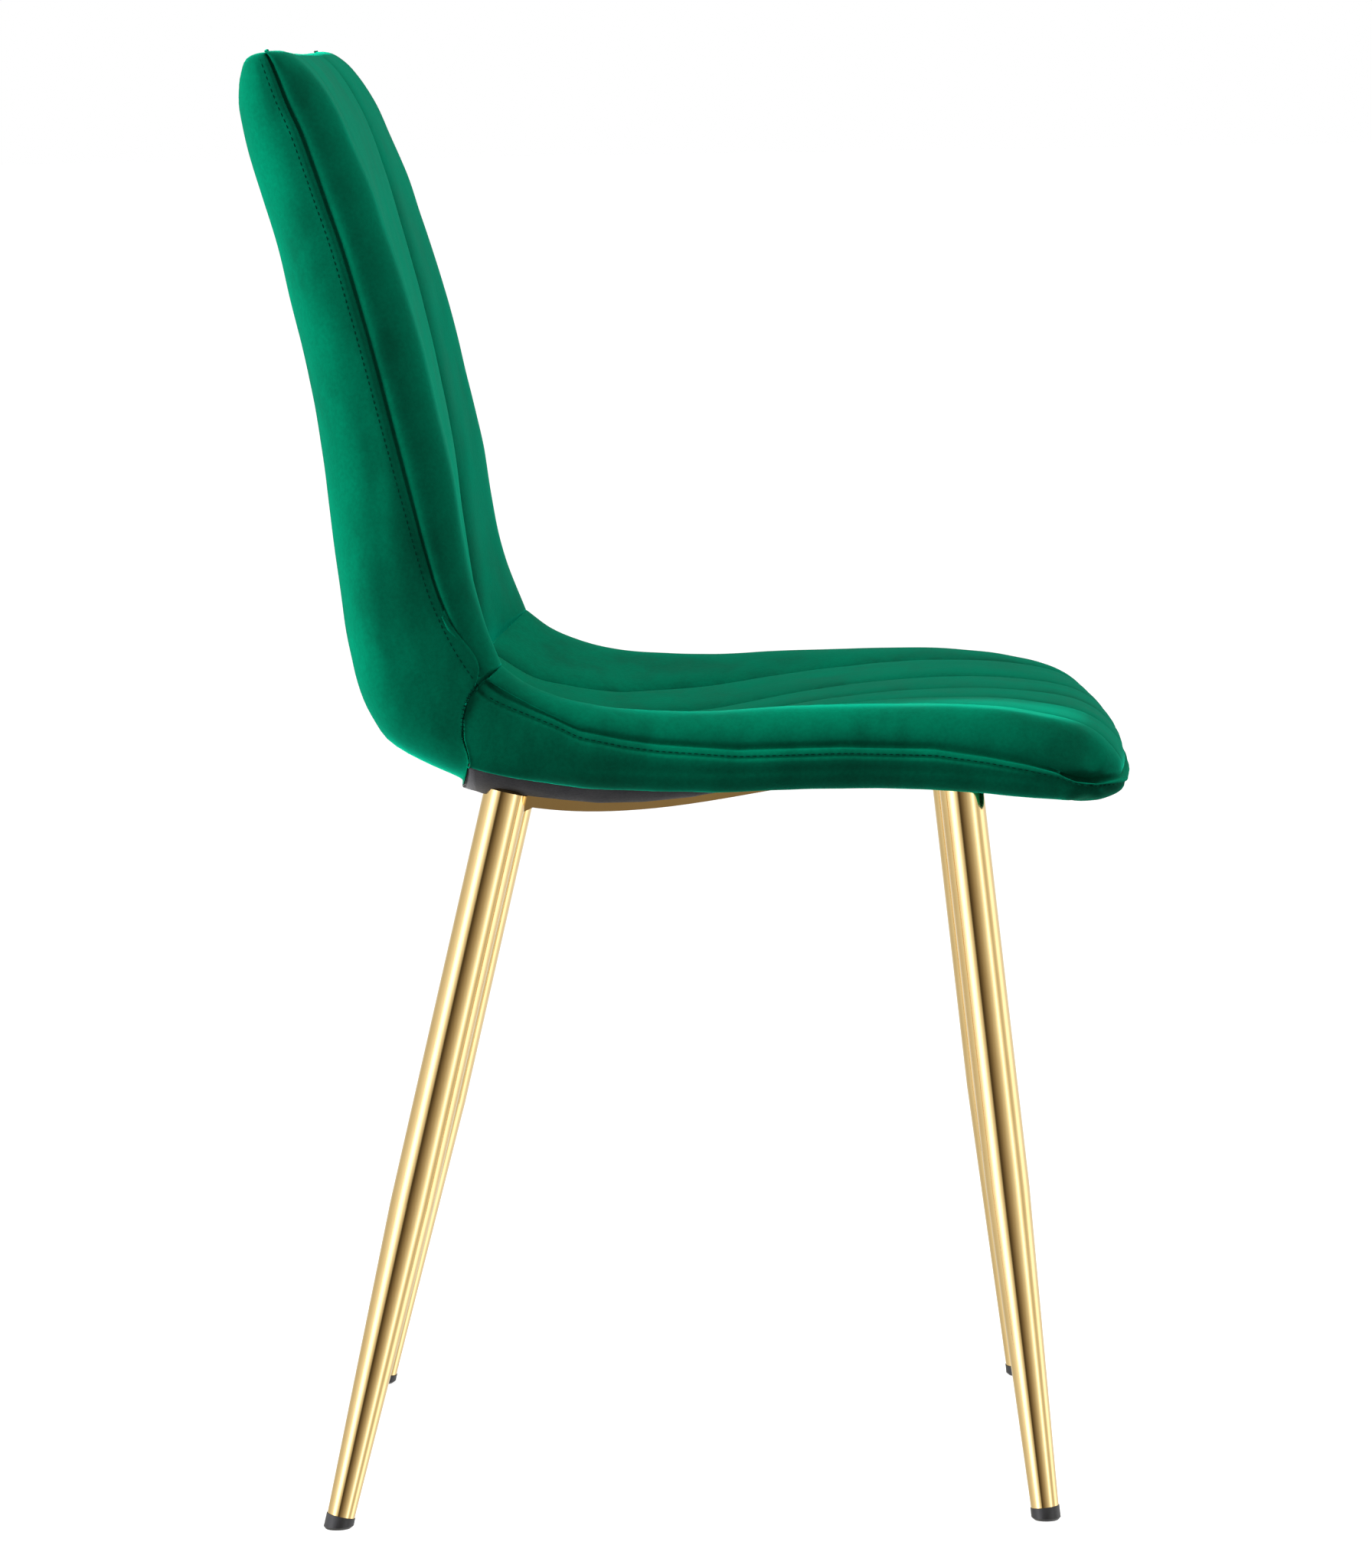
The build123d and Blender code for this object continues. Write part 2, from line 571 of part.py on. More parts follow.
def main():
    os.makedirs("parts", exist_ok=True)
    for row in ("front", "rear"):
        for name, side in SIDES.items():
            write(f"leg_{row}_{name}", leg(row, side))
            write(f"leg_cap_{row}_{name}", leg_cap(row, side))
            write(f"foot_plug_{row}_{name}", foot_plug(row, side))
    for name, side in SIDES.items():
        write(f"side_rail_{name}", side_rail(side))
    gussets = [gusset(row, side) for row in ("rear", "front") for side in SIDES.values()]
    write("gussets", Compound(gussets))
    for name, x in zip(("rear", "front"), CROSS_X):
        write(f"cross_bar_{name}", cross_bar(x))
    for node, kind in (("frame_bolts", "bolt"), ("flat_washers", "washer"), ("spring_washers", "spring"),
                       ("t_nuts", "nut")):
        write(node, stack(kind))
    write("staples", staples())
    for node, shape in upholstery().items():
        write(node, shape)


main()
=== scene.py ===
import math

import bmesh
import bpy
import numpy as np
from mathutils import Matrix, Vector, noise
from mathutils.kdtree import KDTree


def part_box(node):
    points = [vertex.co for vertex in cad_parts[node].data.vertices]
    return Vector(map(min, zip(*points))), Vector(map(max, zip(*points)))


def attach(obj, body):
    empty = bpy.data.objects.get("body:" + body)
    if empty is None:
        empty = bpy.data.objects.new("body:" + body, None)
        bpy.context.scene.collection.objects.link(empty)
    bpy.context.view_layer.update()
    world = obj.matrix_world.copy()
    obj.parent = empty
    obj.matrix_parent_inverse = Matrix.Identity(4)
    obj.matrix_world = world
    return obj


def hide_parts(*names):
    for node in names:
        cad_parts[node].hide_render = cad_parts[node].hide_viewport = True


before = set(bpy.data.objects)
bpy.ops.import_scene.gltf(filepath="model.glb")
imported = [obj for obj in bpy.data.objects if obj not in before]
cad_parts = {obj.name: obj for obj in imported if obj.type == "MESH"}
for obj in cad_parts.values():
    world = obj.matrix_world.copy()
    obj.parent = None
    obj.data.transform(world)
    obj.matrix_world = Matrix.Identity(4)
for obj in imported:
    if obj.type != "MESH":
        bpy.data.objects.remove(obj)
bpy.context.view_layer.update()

# An upholstered dining chair. The steel frame, the plywood and the fasteners show as they are. The velvet
# cushions, the black cover under the seat and the threads are made here, in millimetres.

MM = 0.001

# ---- side-view stations in millimetres -------------------
# Back, from the crease up to the top corner: crest x, z; main seam x, z; rear face x, z; depth of the dish.
BACK = np.array([
    (-114, 523, -125, 517, -141, 443.5, 38),
    (-123.5, 548, -139, 540, -174, 454.5, 27),
    (-131, 575, -151, 568, -199, 489, 22.5),
    (-135.5, 600, -158, 593, -208, 527, 20.5),
    (-140, 631, -165.5, 624, -214, 571, 18.5),
    (-150, 678, -177, 672, -223.5, 648, 16),
    (-159, 718, -186.5, 711, -231.5, 700, 14.5),
    (-168.5, 753, -196, 747, -240.5, 742, 13),
    (-178.5, 785, -205, 779, -248, 777, 11.5),
    (-187, 812, -213, 803, -255.5, 803, 9.5),
    (-197, 837, -220.5, 826, -262, 826, 7),
    (-207, 860, -227.5, 846, -266, 847, 5),
    (-217, 876, -235, 863, -268.5, 866, 3.5),
    (-226, 886, -240, 877, -267.5, 880, 2),
    (-235, 892, -243.5, 887, -262.5, 890, 0.8),
    (-246, 894, -246, 894, -246, 894, 0),
], float)
# Seat, from the crease to the nose: crest x, z; shoulder's backward run; depth of the dish.
SEAT = np.array([
    (-114, 523, -11, 38),
    (-98, 511, -6, 35),
    (-77, 502, -6, 32.5),
    (-53, 496, -4, 30),
    (-20, 493, -2, 27),
    (14, 492, 0, 23),
    (45, 493, 0, 18),
    (92, 494, 0, 11.5),
    (124, 494.5, 0, 9),
    (169, 493, 0, 5.5),
    (191, 491, 0, 4),
    (211, 488, 0, 3),
    (231, 484.5, 0, 2.5),
    (242, 481, 0, 2),
    (252, 475.5, 0, 1.5),
    (261, 467, 0, 1),
    (266.5, 458.5, 0, 0.4),
    (268.5, 449.5, 0, 0),
], float)
SEAT_SEAM = [(-125, 517), (-107, 506), (-89, 496), (-67, 485), (-40, 479), (-20, 476), (28, 472), (91, 473),
             (146, 471), (177, 466), (201, 461), (224, 455), (243, 450), (272, 449.5)]
LOWER_EDGE = [(-133, 464), (-112, 458), (-98, 454), (-84, 451), (-65, 448), (-29, 446), (12, 444), (67, 445),
              (113, 445), (141, 444), (178, 441), (206, 438), (233, 436), (255, 433.5), (272, 432.5)]
DIVISION = [(-125, 517), (-134, 504), (-137, 493), (-137, 480), (-134.5, 470), (-134, 464), (-141, 443.5)]
CREST_Y = 198.0
SEAM_Y = 216.0
SHOULDER_ARC = 30.0  # length of the shoulder from crest to seam
BACK_LINE_Y = 110.0
SEAT_LINES = ((0.0, 0.0), (50.0, 80.0), (110.0, 172.0))  # half spacings at the crease and at the front
FRONT_CORNER = 42.0  # radius in plan
FRONT_BOW = 6.0  # how far the front edge falls back before its corners
ROUND_FROM_X = 180.0  # where the seat's front corners start to round
NOSE_X = 268.5
RIM_INNER_Y = 192.0
RIM_INNER_X = 222.0
EDGE = CREST_Y + SHOULDER_ARC

PLY_LOW_X = -57.0  # lowest place of the plywood's underside
PLY_ARCH_X = 130.0  # highest place of its arch
PLY_EDGE_X = 223.9  # its front edge
PLY_ARCH = 19.5  # rise from the lowest place to the arch
PLY_EDGE_DROP = 12.0  # fall from the arch to the front edge
PLY_REAR_CURVE = 0.0019  # rise behind the lowest place, for each square of the distance
PLY_LOW_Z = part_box("plywood_shell")[0].z / MM


# ---- helpers ---------------------------------------------


def smooth_step(t):
    """0 below 0, 1 above 1, and an even curve between."""
    t = np.clip(t, 0.0, 1.0)
    return t * t * (3 - 2 * t)


def through(knots, values, at):
    """Smooth curve through the values at the knots, read at the places given."""
    knots, values = np.asarray(knots, float), np.asarray(values, float)
    slopes = np.gradient(values, knots, axis=0)
    at = np.clip(at, knots[0], knots[-1])
    i = np.clip(np.searchsorted(knots, at, side="right") - 1, 0, len(knots) - 2)
    step = knots[i + 1] - knots[i]
    t = (at - knots[i]) / step
    if values.ndim > 1:
        t, step = t[:, None], step[:, None]
    a, b = values[i], values[i + 1]
    return ((1 + 2 * t) * (1 - t) ** 2 * a + t * (1 - t) ** 2 * step * slopes[i]
            + t * t * (3 - 2 * t) * b - t * t * (1 - t) * step * slopes[i + 1])


def chord(points):
    """Running length along a polyline."""
    steps = np.linalg.norm(np.diff(points, axis=0), axis=1)
    return np.concatenate([[0.0], np.cumsum(steps)])


def spread(length, fine_low, fine_high, coarse, growth=1.35):
    """Places from 0 to length whose spacing grows from the fine ends to the coarse middle."""
    low, high = [0.0], [length]
    step_low, step_high = fine_low, fine_high
    while high[-1] - low[-1] > 1.5 * min(max(step_low, step_high), coarse):
        if step_low <= step_high:
            low.append(low[-1] + step_low)
            step_low = min(step_low * growth, coarse)
        else:
            high.append(high[-1] - step_high)
            step_high = min(step_high * growth, coarse)
    return np.array(low + high[::-1])


def at_x(points, x):
    """Height on a line of (x, z) points."""
    table = np.array(points, float)
    return np.interp(x, table[:, 0], table[:, 1])


def under_z(x):
    """Underside of the plywood shell under the seat, as in the CAD."""
    front = PLY_LOW_Z + PLY_ARCH - PLY_EDGE_DROP * ((x - PLY_ARCH_X) / (PLY_EDGE_X - PLY_ARCH_X)) ** 2
    share = (x - PLY_LOW_X) / (PLY_ARCH_X - PLY_LOW_X)
    middle = PLY_LOW_Z + PLY_ARCH * (1 - np.cos(np.pi * share)) / 2
    rear = PLY_LOW_Z + PLY_REAR_CURVE * (x - PLY_LOW_X) ** 2
    return np.where(x > PLY_ARCH_X, front, np.where(x > PLY_LOW_X, middle, rear))


def dish(t):
    """Cross-section of the dish: 1 in the middle, 0 and level at the crests."""
    t = np.clip(np.abs(t), 0, 1)
    return 1 - t**2 + 0.5 * (t**14 - t**10)


def valley(distance, depth, width):
    """Soft V beside a line of stitches."""
    return -depth * np.exp(-np.abs(distance) / width)


def patch(row_a, row_b, side_a, side_b):
    """Surface that fills four edges: two rows with the same count, and two sides with the same count."""
    rows, columns = len(side_a), len(row_a)
    v, u = np.linspace(0, 1, rows)[:, None, None], np.linspace(0, 1, columns)[None, :, None]
    ruled = (1 - v) * row_a[None] + v * row_b[None]
    ruled += (1 - u) * side_a[:, None] + u * side_b[:, None]
    corners = (1 - u) * (1 - v) * row_a[0] + u * (1 - v) * row_a[-1]
    corners = corners + (1 - u) * v * row_b[0] + u * v * row_b[-1]
    return ruled - corners


class Shell:
    """Vertices, faces and per-vertex values of one closed piece, made of grids that share their edges."""

    def __init__(self):
        self.points = []
        self.values = {"push": [], "pin": []}
        self.faces = []
        self.count = 0

    def grid(self, points, push=None, pin=None):
        rows, columns = points.shape[:2]
        ids = self.count + np.arange(rows * columns).reshape(rows, columns)
        self.count += rows * columns
        self.points.append(points.reshape(-1, 3))
        for name, given in (("push", push), ("pin", pin)):
            field = np.zeros((rows, columns)) if given is None else given
            self.values[name].append(np.broadcast_to(field, (rows, columns)).reshape(-1))
        return ids

    def skin(self, ids):
        """Faces between the rows and columns of an id grid."""
        a, b, c, d = ids[:-1, :-1], ids[:-1, 1:], ids[1:, 1:], ids[1:, :-1]
        for quad in np.stack([a, b, c, d], -1).reshape(-1, 4):
            face = [int(quad[k]) for k in range(4) if quad[k] != quad[k - 1]]
            if len(set(face)) > 2:
                self.faces.append(face)

    def mesh(self, name):
        """The mesh in metres with the vertices that no face uses left out, and the ids that are kept."""
        points = np.concatenate(self.points)
        used = np.unique(np.array([i for face in self.faces for i in face]))
        to_new = np.full(len(points), -1)
        to_new[used] = np.arange(len(used))
        mesh = bpy.data.meshes.new(name)
        faces = [[int(to_new[i]) for i in face] for face in self.faces]
        mesh.from_pydata((points[used] * MM).tolist(), [], faces)
        mesh.validate()
        mesh.update()
        return mesh, used


def outward(mesh):
    """Makes the faces point out of the closed mesh."""
    work = bmesh.new()
    work.from_mesh(mesh)
    bmesh.ops.recalc_face_normals(work, faces=work.faces)
    if work.calc_volume(signed=True) < 0:
        bmesh.ops.reverse_faces(work, faces=work.faces)
    work.to_mesh(mesh)
    work.free()
    mesh.update()


def places(mesh):
    """The vertices of a mesh, in metres."""
    flat = np.zeros(len(mesh.vertices) * 3)
    mesh.vertices.foreach_get("co", flat)
    return flat.reshape(-1, 3)


def set_places(mesh, points):
    """Moves the vertices of a mesh to points in metres."""
    mesh.vertices.foreach_set("co", np.asarray(points, float).ravel())
    mesh.update()


def normals(mesh):
    """The outward direction at each vertex."""
    flat = np.zeros(len(mesh.vertices) * 3, np.float32)
    mesh.vertex_normals.foreach_get("vector", flat)
    return flat.reshape(-1, 3).astype(float)


def put(name, data):
    """A new object in the scene."""
    made = bpy.data.objects.new(name, data)
    bpy.context.collection.objects.link(made)
    return made


def add(name, mesh, material):
    """A piece of the chair that rides on its one body."""
    piece = put(name, mesh)
    mesh.materials.clear()
    mesh.materials.append(material)
    mesh.polygons.foreach_set("use_smooth", [True] * len(mesh.polygons))
    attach(piece, "root")
    return piece


def lumps(points, size, seed):
    """Slow smooth noise at points in millimetres, about -1 to 1."""
    shift = Vector((seed * 13.7, seed * 7.1, seed * 3.3))
    return np.array([noise.noise(Vector(p) / size + shift) for p in points.tolist()])


# ---- back cushion ----------------------------------------


HIDDEN_GAP = 0.4  # each cushion stays this far off the other where they meet
REAR_CROWN = 5.0  # middle of the rear face behind its sides
REAR_ROUND_DEEP = 36.0  # edge between the rear face and the side panel, along the panel
REAR_ROUND_WIDE = 42.0  # and across the rear face
ROUND_SHARE = 0.62  # the most that edge takes of a section
PANEL_BULGE = 2.2
LINE_DEEP = 3.3  # channels of the back: the hollow beside a line of stitches
LINE_WIDE = 8.0
THREAD_DEEP = 2.0  # and the narrow cut of the stitches in it
THREAD_WIDE = 1.5
CREASE_DEEP = 2.0
CREASE_WIDE = 7.0
SEAM_PULL = 1.5  # the cover drawn in at the main seams
SEAM_CUT_WIDE = 1.1
TOPSTITCH_DEEP = 0.9
STITCH_OFF = 6.5  # topstitch from the main seam
TOP_SAG = 2.2  # top edge below the corners
TOP_SAG_REACH = 14.0


def back_columns(scale):
    """Half of the column places across the front, from the middle to the seam."""
    inner = spread(BACK_LINE_Y, 5.0 * scale, 0.9 * scale, 5.0 * scale)
    outer = BACK_LINE_Y + spread(EDGE - BACK_LINE_Y, 0.9 * scale, 0.9 * scale, 4.0 * scale)
    return np.concatenate([inner, outer[1:]])


def mirrored(half):
    """Places on both sides of the middle, from those of one side."""
    return np.concatenate([-half[:0:-1], half])


def crease_push(rows):
    """How far the cover is drawn in along the crease between back and seat."""
    return valley(rows[:, None], 0.8, 2.0) + valley(rows[:, None], CREASE_DEEP, CREASE_WIDE)


def shoulder(a):
    """For places a across the front: y, and how far round the shoulder each is as an angle."""
    angle = np.clip((np.abs(a) - CREST_Y) / SHOULDER_ARC, 0, 1) * np.pi / 2
    y = np.where(np.abs(a) <= CREST_Y, np.abs(a), CREST_Y + (SEAM_Y - CREST_Y) * np.sin(angle))
    return np.sign(a) * y, angle


def rear_section(depth, fractions):
    """Half of a section of the back's cover, from the middle of the rear face round to the seam.

    Gives at each fraction of its length: y, the distance behind the seam, and the arc from the seam.
    """
    crown = REAR_CROWN * min(1.0, depth / 50)
    round_deep = min(ROUND_SHARE * depth, REAR_ROUND_DEEP)
    round_wide = REAR_ROUND_WIDE * min(1.0, (depth / 45) ** 0.5)
    flat = max(depth - crown - round_deep, 0.0)
    t = np.linspace(0, 1, 40)
    y_rear = t * (SEAM_Y - round_wide)
    rear = np.stack([y_rear, depth - crown * t**2], 1)
    turn = t[1:] * np.pi / 2
    corner = np.stack([SEAM_Y - round_wide + round_wide * np.sin(turn), flat + round_deep * np.cos(turn)], 1)
    bulge = PANEL_BULGE * np.sin(np.pi * t[1:]) * min(1, flat / 25)
    side = np.stack([SEAM_Y + bulge, flat * (1 - t[1:])], 1)
    line = np.concatenate([rear, corner, side])
    run = chord(line)
    at = fractions * run[-1]
    return np.interp(at, run, line[:, 0]), np.interp(at, run, line[:, 1]), run[-1] - at


def build_back(scale):
    """The back's sewn cover, not yet swollen. The scale coarsens its grid."""
    crest, seam, rear = BACK[:, 0:2], BACK[:, 2:4], BACK[:, 4:6]
    knots = chord(crest)
    rows = spread(knots[-1], 1.3 * scale, 0.9 * scale, 3.6 * scale, 1.2)
    columns = mirrored(back_columns(scale))
    c, s, r = through(knots, crest, rows), through(knots, seam, rows), through(knots, rear, rows)
    depth = through(knots, BACK[:, 6], rows)
    along = np.gradient(through(knots, crest, rows), rows, axis=0)
    along /= np.linalg.norm(along, axis=1)[:, None]
    inward = np.stack([-along[:, 1], along[:, 0]], 1)
    y, angle = shoulder(columns)
    turn = 1 - np.cos(angle)
    sunk = depth[:, None] * dish(y / CREST_Y)[None]
    x = c[:, 0:1] + inward[:, 0:1] * sunk + (s - c)[:, 0:1] * turn[None]
    z = c[:, 1:2] + inward[:, 1:2] * sunk + (s - c)[:, 1:2] * turn[None]
    from_top = knots[-1] - rows
    z = z - TOP_SAG * np.exp(-from_top / TOP_SAG_REACH)[:, None] * (1 - np.abs(y / SEAM_Y)[None] ** 6)
    front = np.stack([x, np.broadcast_to(y, x.shape), z], -1)

    from_seam = (EDGE - np.abs(columns))[None]
    line = np.abs(columns)[None] - BACK_LINE_Y
    push = valley(line, LINE_DEEP, LINE_WIDE) + valley(line, THREAD_DEEP, THREAD_WIDE)
    fade = smooth_step(from_top / 30)[:, None]
    push = push * (0.45 + 0.55 * fade)
    push = push + crease_push(rows) * dish(y / CREST_Y)[None]
    deep_top = 1.6 + 2.6 * np.exp(-from_top / 26)[:, None]
    push = push - deep_top * np.exp(-from_seam / (3.2 + 2.0 * np.exp(-from_top / 30)[:, None]))
    push = push - 1.2 * np.exp(-from_top / 3.5)[:, None]
    push = push - SEAM_PULL * np.exp(-((from_seam / SEAM_CUT_WIDE) ** 2))
    pin = (np.abs(line) < 1.0) | (rows[:, None] < 2) | (from_seam < 0.5) | (from_top[:, None] < 1)
    pin = pin.astype(float)

    fractions = np.abs(shoulder(columns)[0]) / SEAM_Y
    behind = np.zeros_like(front)
    rear_push = np.zeros(front.shape[:2])
    table = np.array(DIVISION, float)[::-1]
    half = len(columns) // 2
    for k in range(len(rows)):
        reach = r[k] - s[k]
        deep = max(np.linalg.norm(reach), 1e-6)
        wide, share, arc = rear_section(deep, fractions[half:])
        share = share / deep if deep > 1e-3 else share * 0
        px = s[k, 0] + reach[0] * share
        pz = s[k, 1] + reach[1] * share
        near_crease = 1 - smooth_step(rows[k] / 45)
        px = px + near_crease * (np.interp(pz, table[:, 1], table[:, 0]) - px)
        px, pz = np.concatenate([px[:0:-1], px]), np.concatenate([pz[:0:-1], pz])
        py, arc = np.concatenate([-wide[:0:-1], wide]), np.concatenate([arc[:0:-1], arc])
        pz = pz - TOP_SAG * math.exp(-from_top[k] / TOP_SAG_REACH) * (1 - np.abs(py / SEAM_Y) ** 6)
        behind[k] = np.stack([px, py, pz], 1)
        top = math.exp(-from_top[k] / 26)
        rear_push[k] = -(1.5 + 2.4 * top) * np.exp(-arc / (3.0 + 2.0 * top))
        topstitch = np.exp(-(((arc - STITCH_OFF) / SEAM_CUT_WIDE) ** 2))
        rear_push[k] -= TOPSTITCH_DEEP * topstitch * (from_top[k] > 6)
        rear_push[k] -= SEAM_PULL * np.exp(-((arc / SEAM_CUT_WIDE) ** 2))
        rear_push[k] -= 1.2 * math.exp(-from_top[k] / 3.5)
        rear_push[k] -= 0.9 * np.exp(-rows[k] / 2.5)
    behind[-1] = front[-1]
    rear_push[-1] = push[-1]
    rear_push[:, 0], rear_push[:, -1] = push[:, 0], push[:, -1]
    rear_push[0] = np.minimum(rear_push[0], -0.9)

    shell = Shell()
    front_ids = shell.grid(front, push, pin)
    rear_pin = np.zeros(behind.shape[:2])
    rear_pin[0] = rear_pin[-1] = 1
    rear_pin[:, 0] = rear_pin[:, -1] = 1
    rear_ids = shell.grid(behind, rear_push, rear_pin)
    rear_ids[:, 0], rear_ids[:, -1], rear_ids[-1] = front_ids[:, 0], front_ids[:, -1], front_ids[-1]
    count = max(3, int(8 / scale))
    share = np.linspace(0, 1, count)[:, None, None]
    closure = (1 - share) * front[0][None] + share * behind[0][None]
    close_ids = shell.grid(closure, -HIDDEN_GAP, 1.0)
    close_ids[0], close_ids[-1] = front_ids[0], rear_ids[0]
    close_ids[:, 0], close_ids[:, -1] = front_ids[0, 0], front_ids[0, -1]
    for ids in (front_ids, rear_ids, close_ids):
        shell.skin(ids)
    return shell


# ---- seat cushion ----------------------------------------


SEAT_LINE_DEEP = 3.0  # channels of the seat
SEAT_LINE_WIDE = 6.5
SEAT_THREAD_WIDE = 1.4
NOSE_PULL_WIDE = 3.2
NOSE_CUT = 1.3
HALF_CHANNELS = (65.0, 75.0, 90.0)  # widths that set how many columns each channel gets
BAND_BULGE = 2.4
UNDER_GAP = 0.2  # cushion to the plywood's underside
CREASE_SEAM_X = DIVISION[0][0]
BAND_STEPS = (0, 0.7, 1.5, 2.6, 4, 5.2, 6, 6.5, 7, 8, 9.5, 12)  # rows of the side band below its seam


def seat_columns(scale):
    """Places across the seat's half as (channel, share of the channel)."""
    made = [(0, 0.0)]
    for channel, width in enumerate(HALF_CHANNELS):
        ends = spread(width, 0.9 * scale, 0.9 * scale, 4.5 * scale)[1:] / width
        made += [(channel, float(t)) for t in ends]
    return made


def corner_cut(y):
    """How far the seat's rounded front corner lies behind its nose at y."""
    straight = SEAM_Y - FRONT_CORNER
    into = np.clip(np.abs(y) - straight, 0, FRONT_CORNER)
    bow = FRONT_BOW * np.clip(np.abs(y) / straight, 0, 1) ** 2
    return bow + FRONT_CORNER - np.sqrt(np.maximum(FRONT_CORNER**2 - into**2, 0))


def band_column(place, out, steps, later):
    """The side band from one place on its seam down to the plywood, and how far it is drawn in."""
    px, py, pz = place
    low = float(at_x(LOWER_EDGE, px))
    front = float(smooth_step((abs(out[0]) - 0.1) / 0.8))
    rear = 1 - float(smooth_step((px - CREASE_SEAM_X) / 45)) if abs(py) > 200 else 0.0
    inset = (1 - front) * (SEAM_Y - RIM_INNER_Y) + front * (NOSE_X - RIM_INNER_X)
    turn_wide = (1 - front) * (13 - 9 * rear) + front * 30
    turn_deep = min(ROUND_SHARE * (pz - low), 13 + 3 * front)
    t = np.linspace(0, 1, 16)
    wall = np.stack([-BAND_BULGE * np.sin(np.pi * t) * (1 - 0.6 * rear), pz - (pz - low - turn_deep) * t], 1)
    turned = t[1:] * np.pi / 2
    bend = np.stack([turn_wide * (1 - np.cos(turned)), low + turn_deep * (1 - np.sin(turned))], 1)
    roof = float(under_z(px if front < 0.5 else RIM_INNER_X)) - UNDER_GAP
    tail = np.array([(inset - 5, low + 0.8), (inset - 1.5, low + 0.25 * (roof - low)),
                     (inset, low + 0.6 * (roof - low)), (inset + 0.5, roof)])
    line = np.concatenate([wall, bend, tail])
    run = chord(line)
    at = np.concatenate([steps, steps[-1] + later * (run[-1] - steps[-1])])
    d, h = np.interp(at, run, line[:, 0]), np.interp(at, run, line[:, 1])
    column = np.stack([px - out[0] * d, py - out[1] * d, h], 1)
    edge = at_x([(z, x) for x, z in DIVISION[::-1]], h)
    column[:, 0] += rear * (edge - CREASE_SEAM_X) * (h > low - 1) * np.clip((h - low + 6) / 6, 0, 1)
    drawn_in = -SEAM_PULL * np.exp(-at / NOSE_PULL_WIDE)
    drawn_in = drawn_in - NOSE_CUT * np.exp(-((at / SEAM_CUT_WIDE) ** 2))
    drawn_in = drawn_in - TOPSTITCH_DEEP * np.exp(-(((at - STITCH_OFF) / SEAM_CUT_WIDE) ** 2))
    return column, drawn_in - 0.8 * rear**6


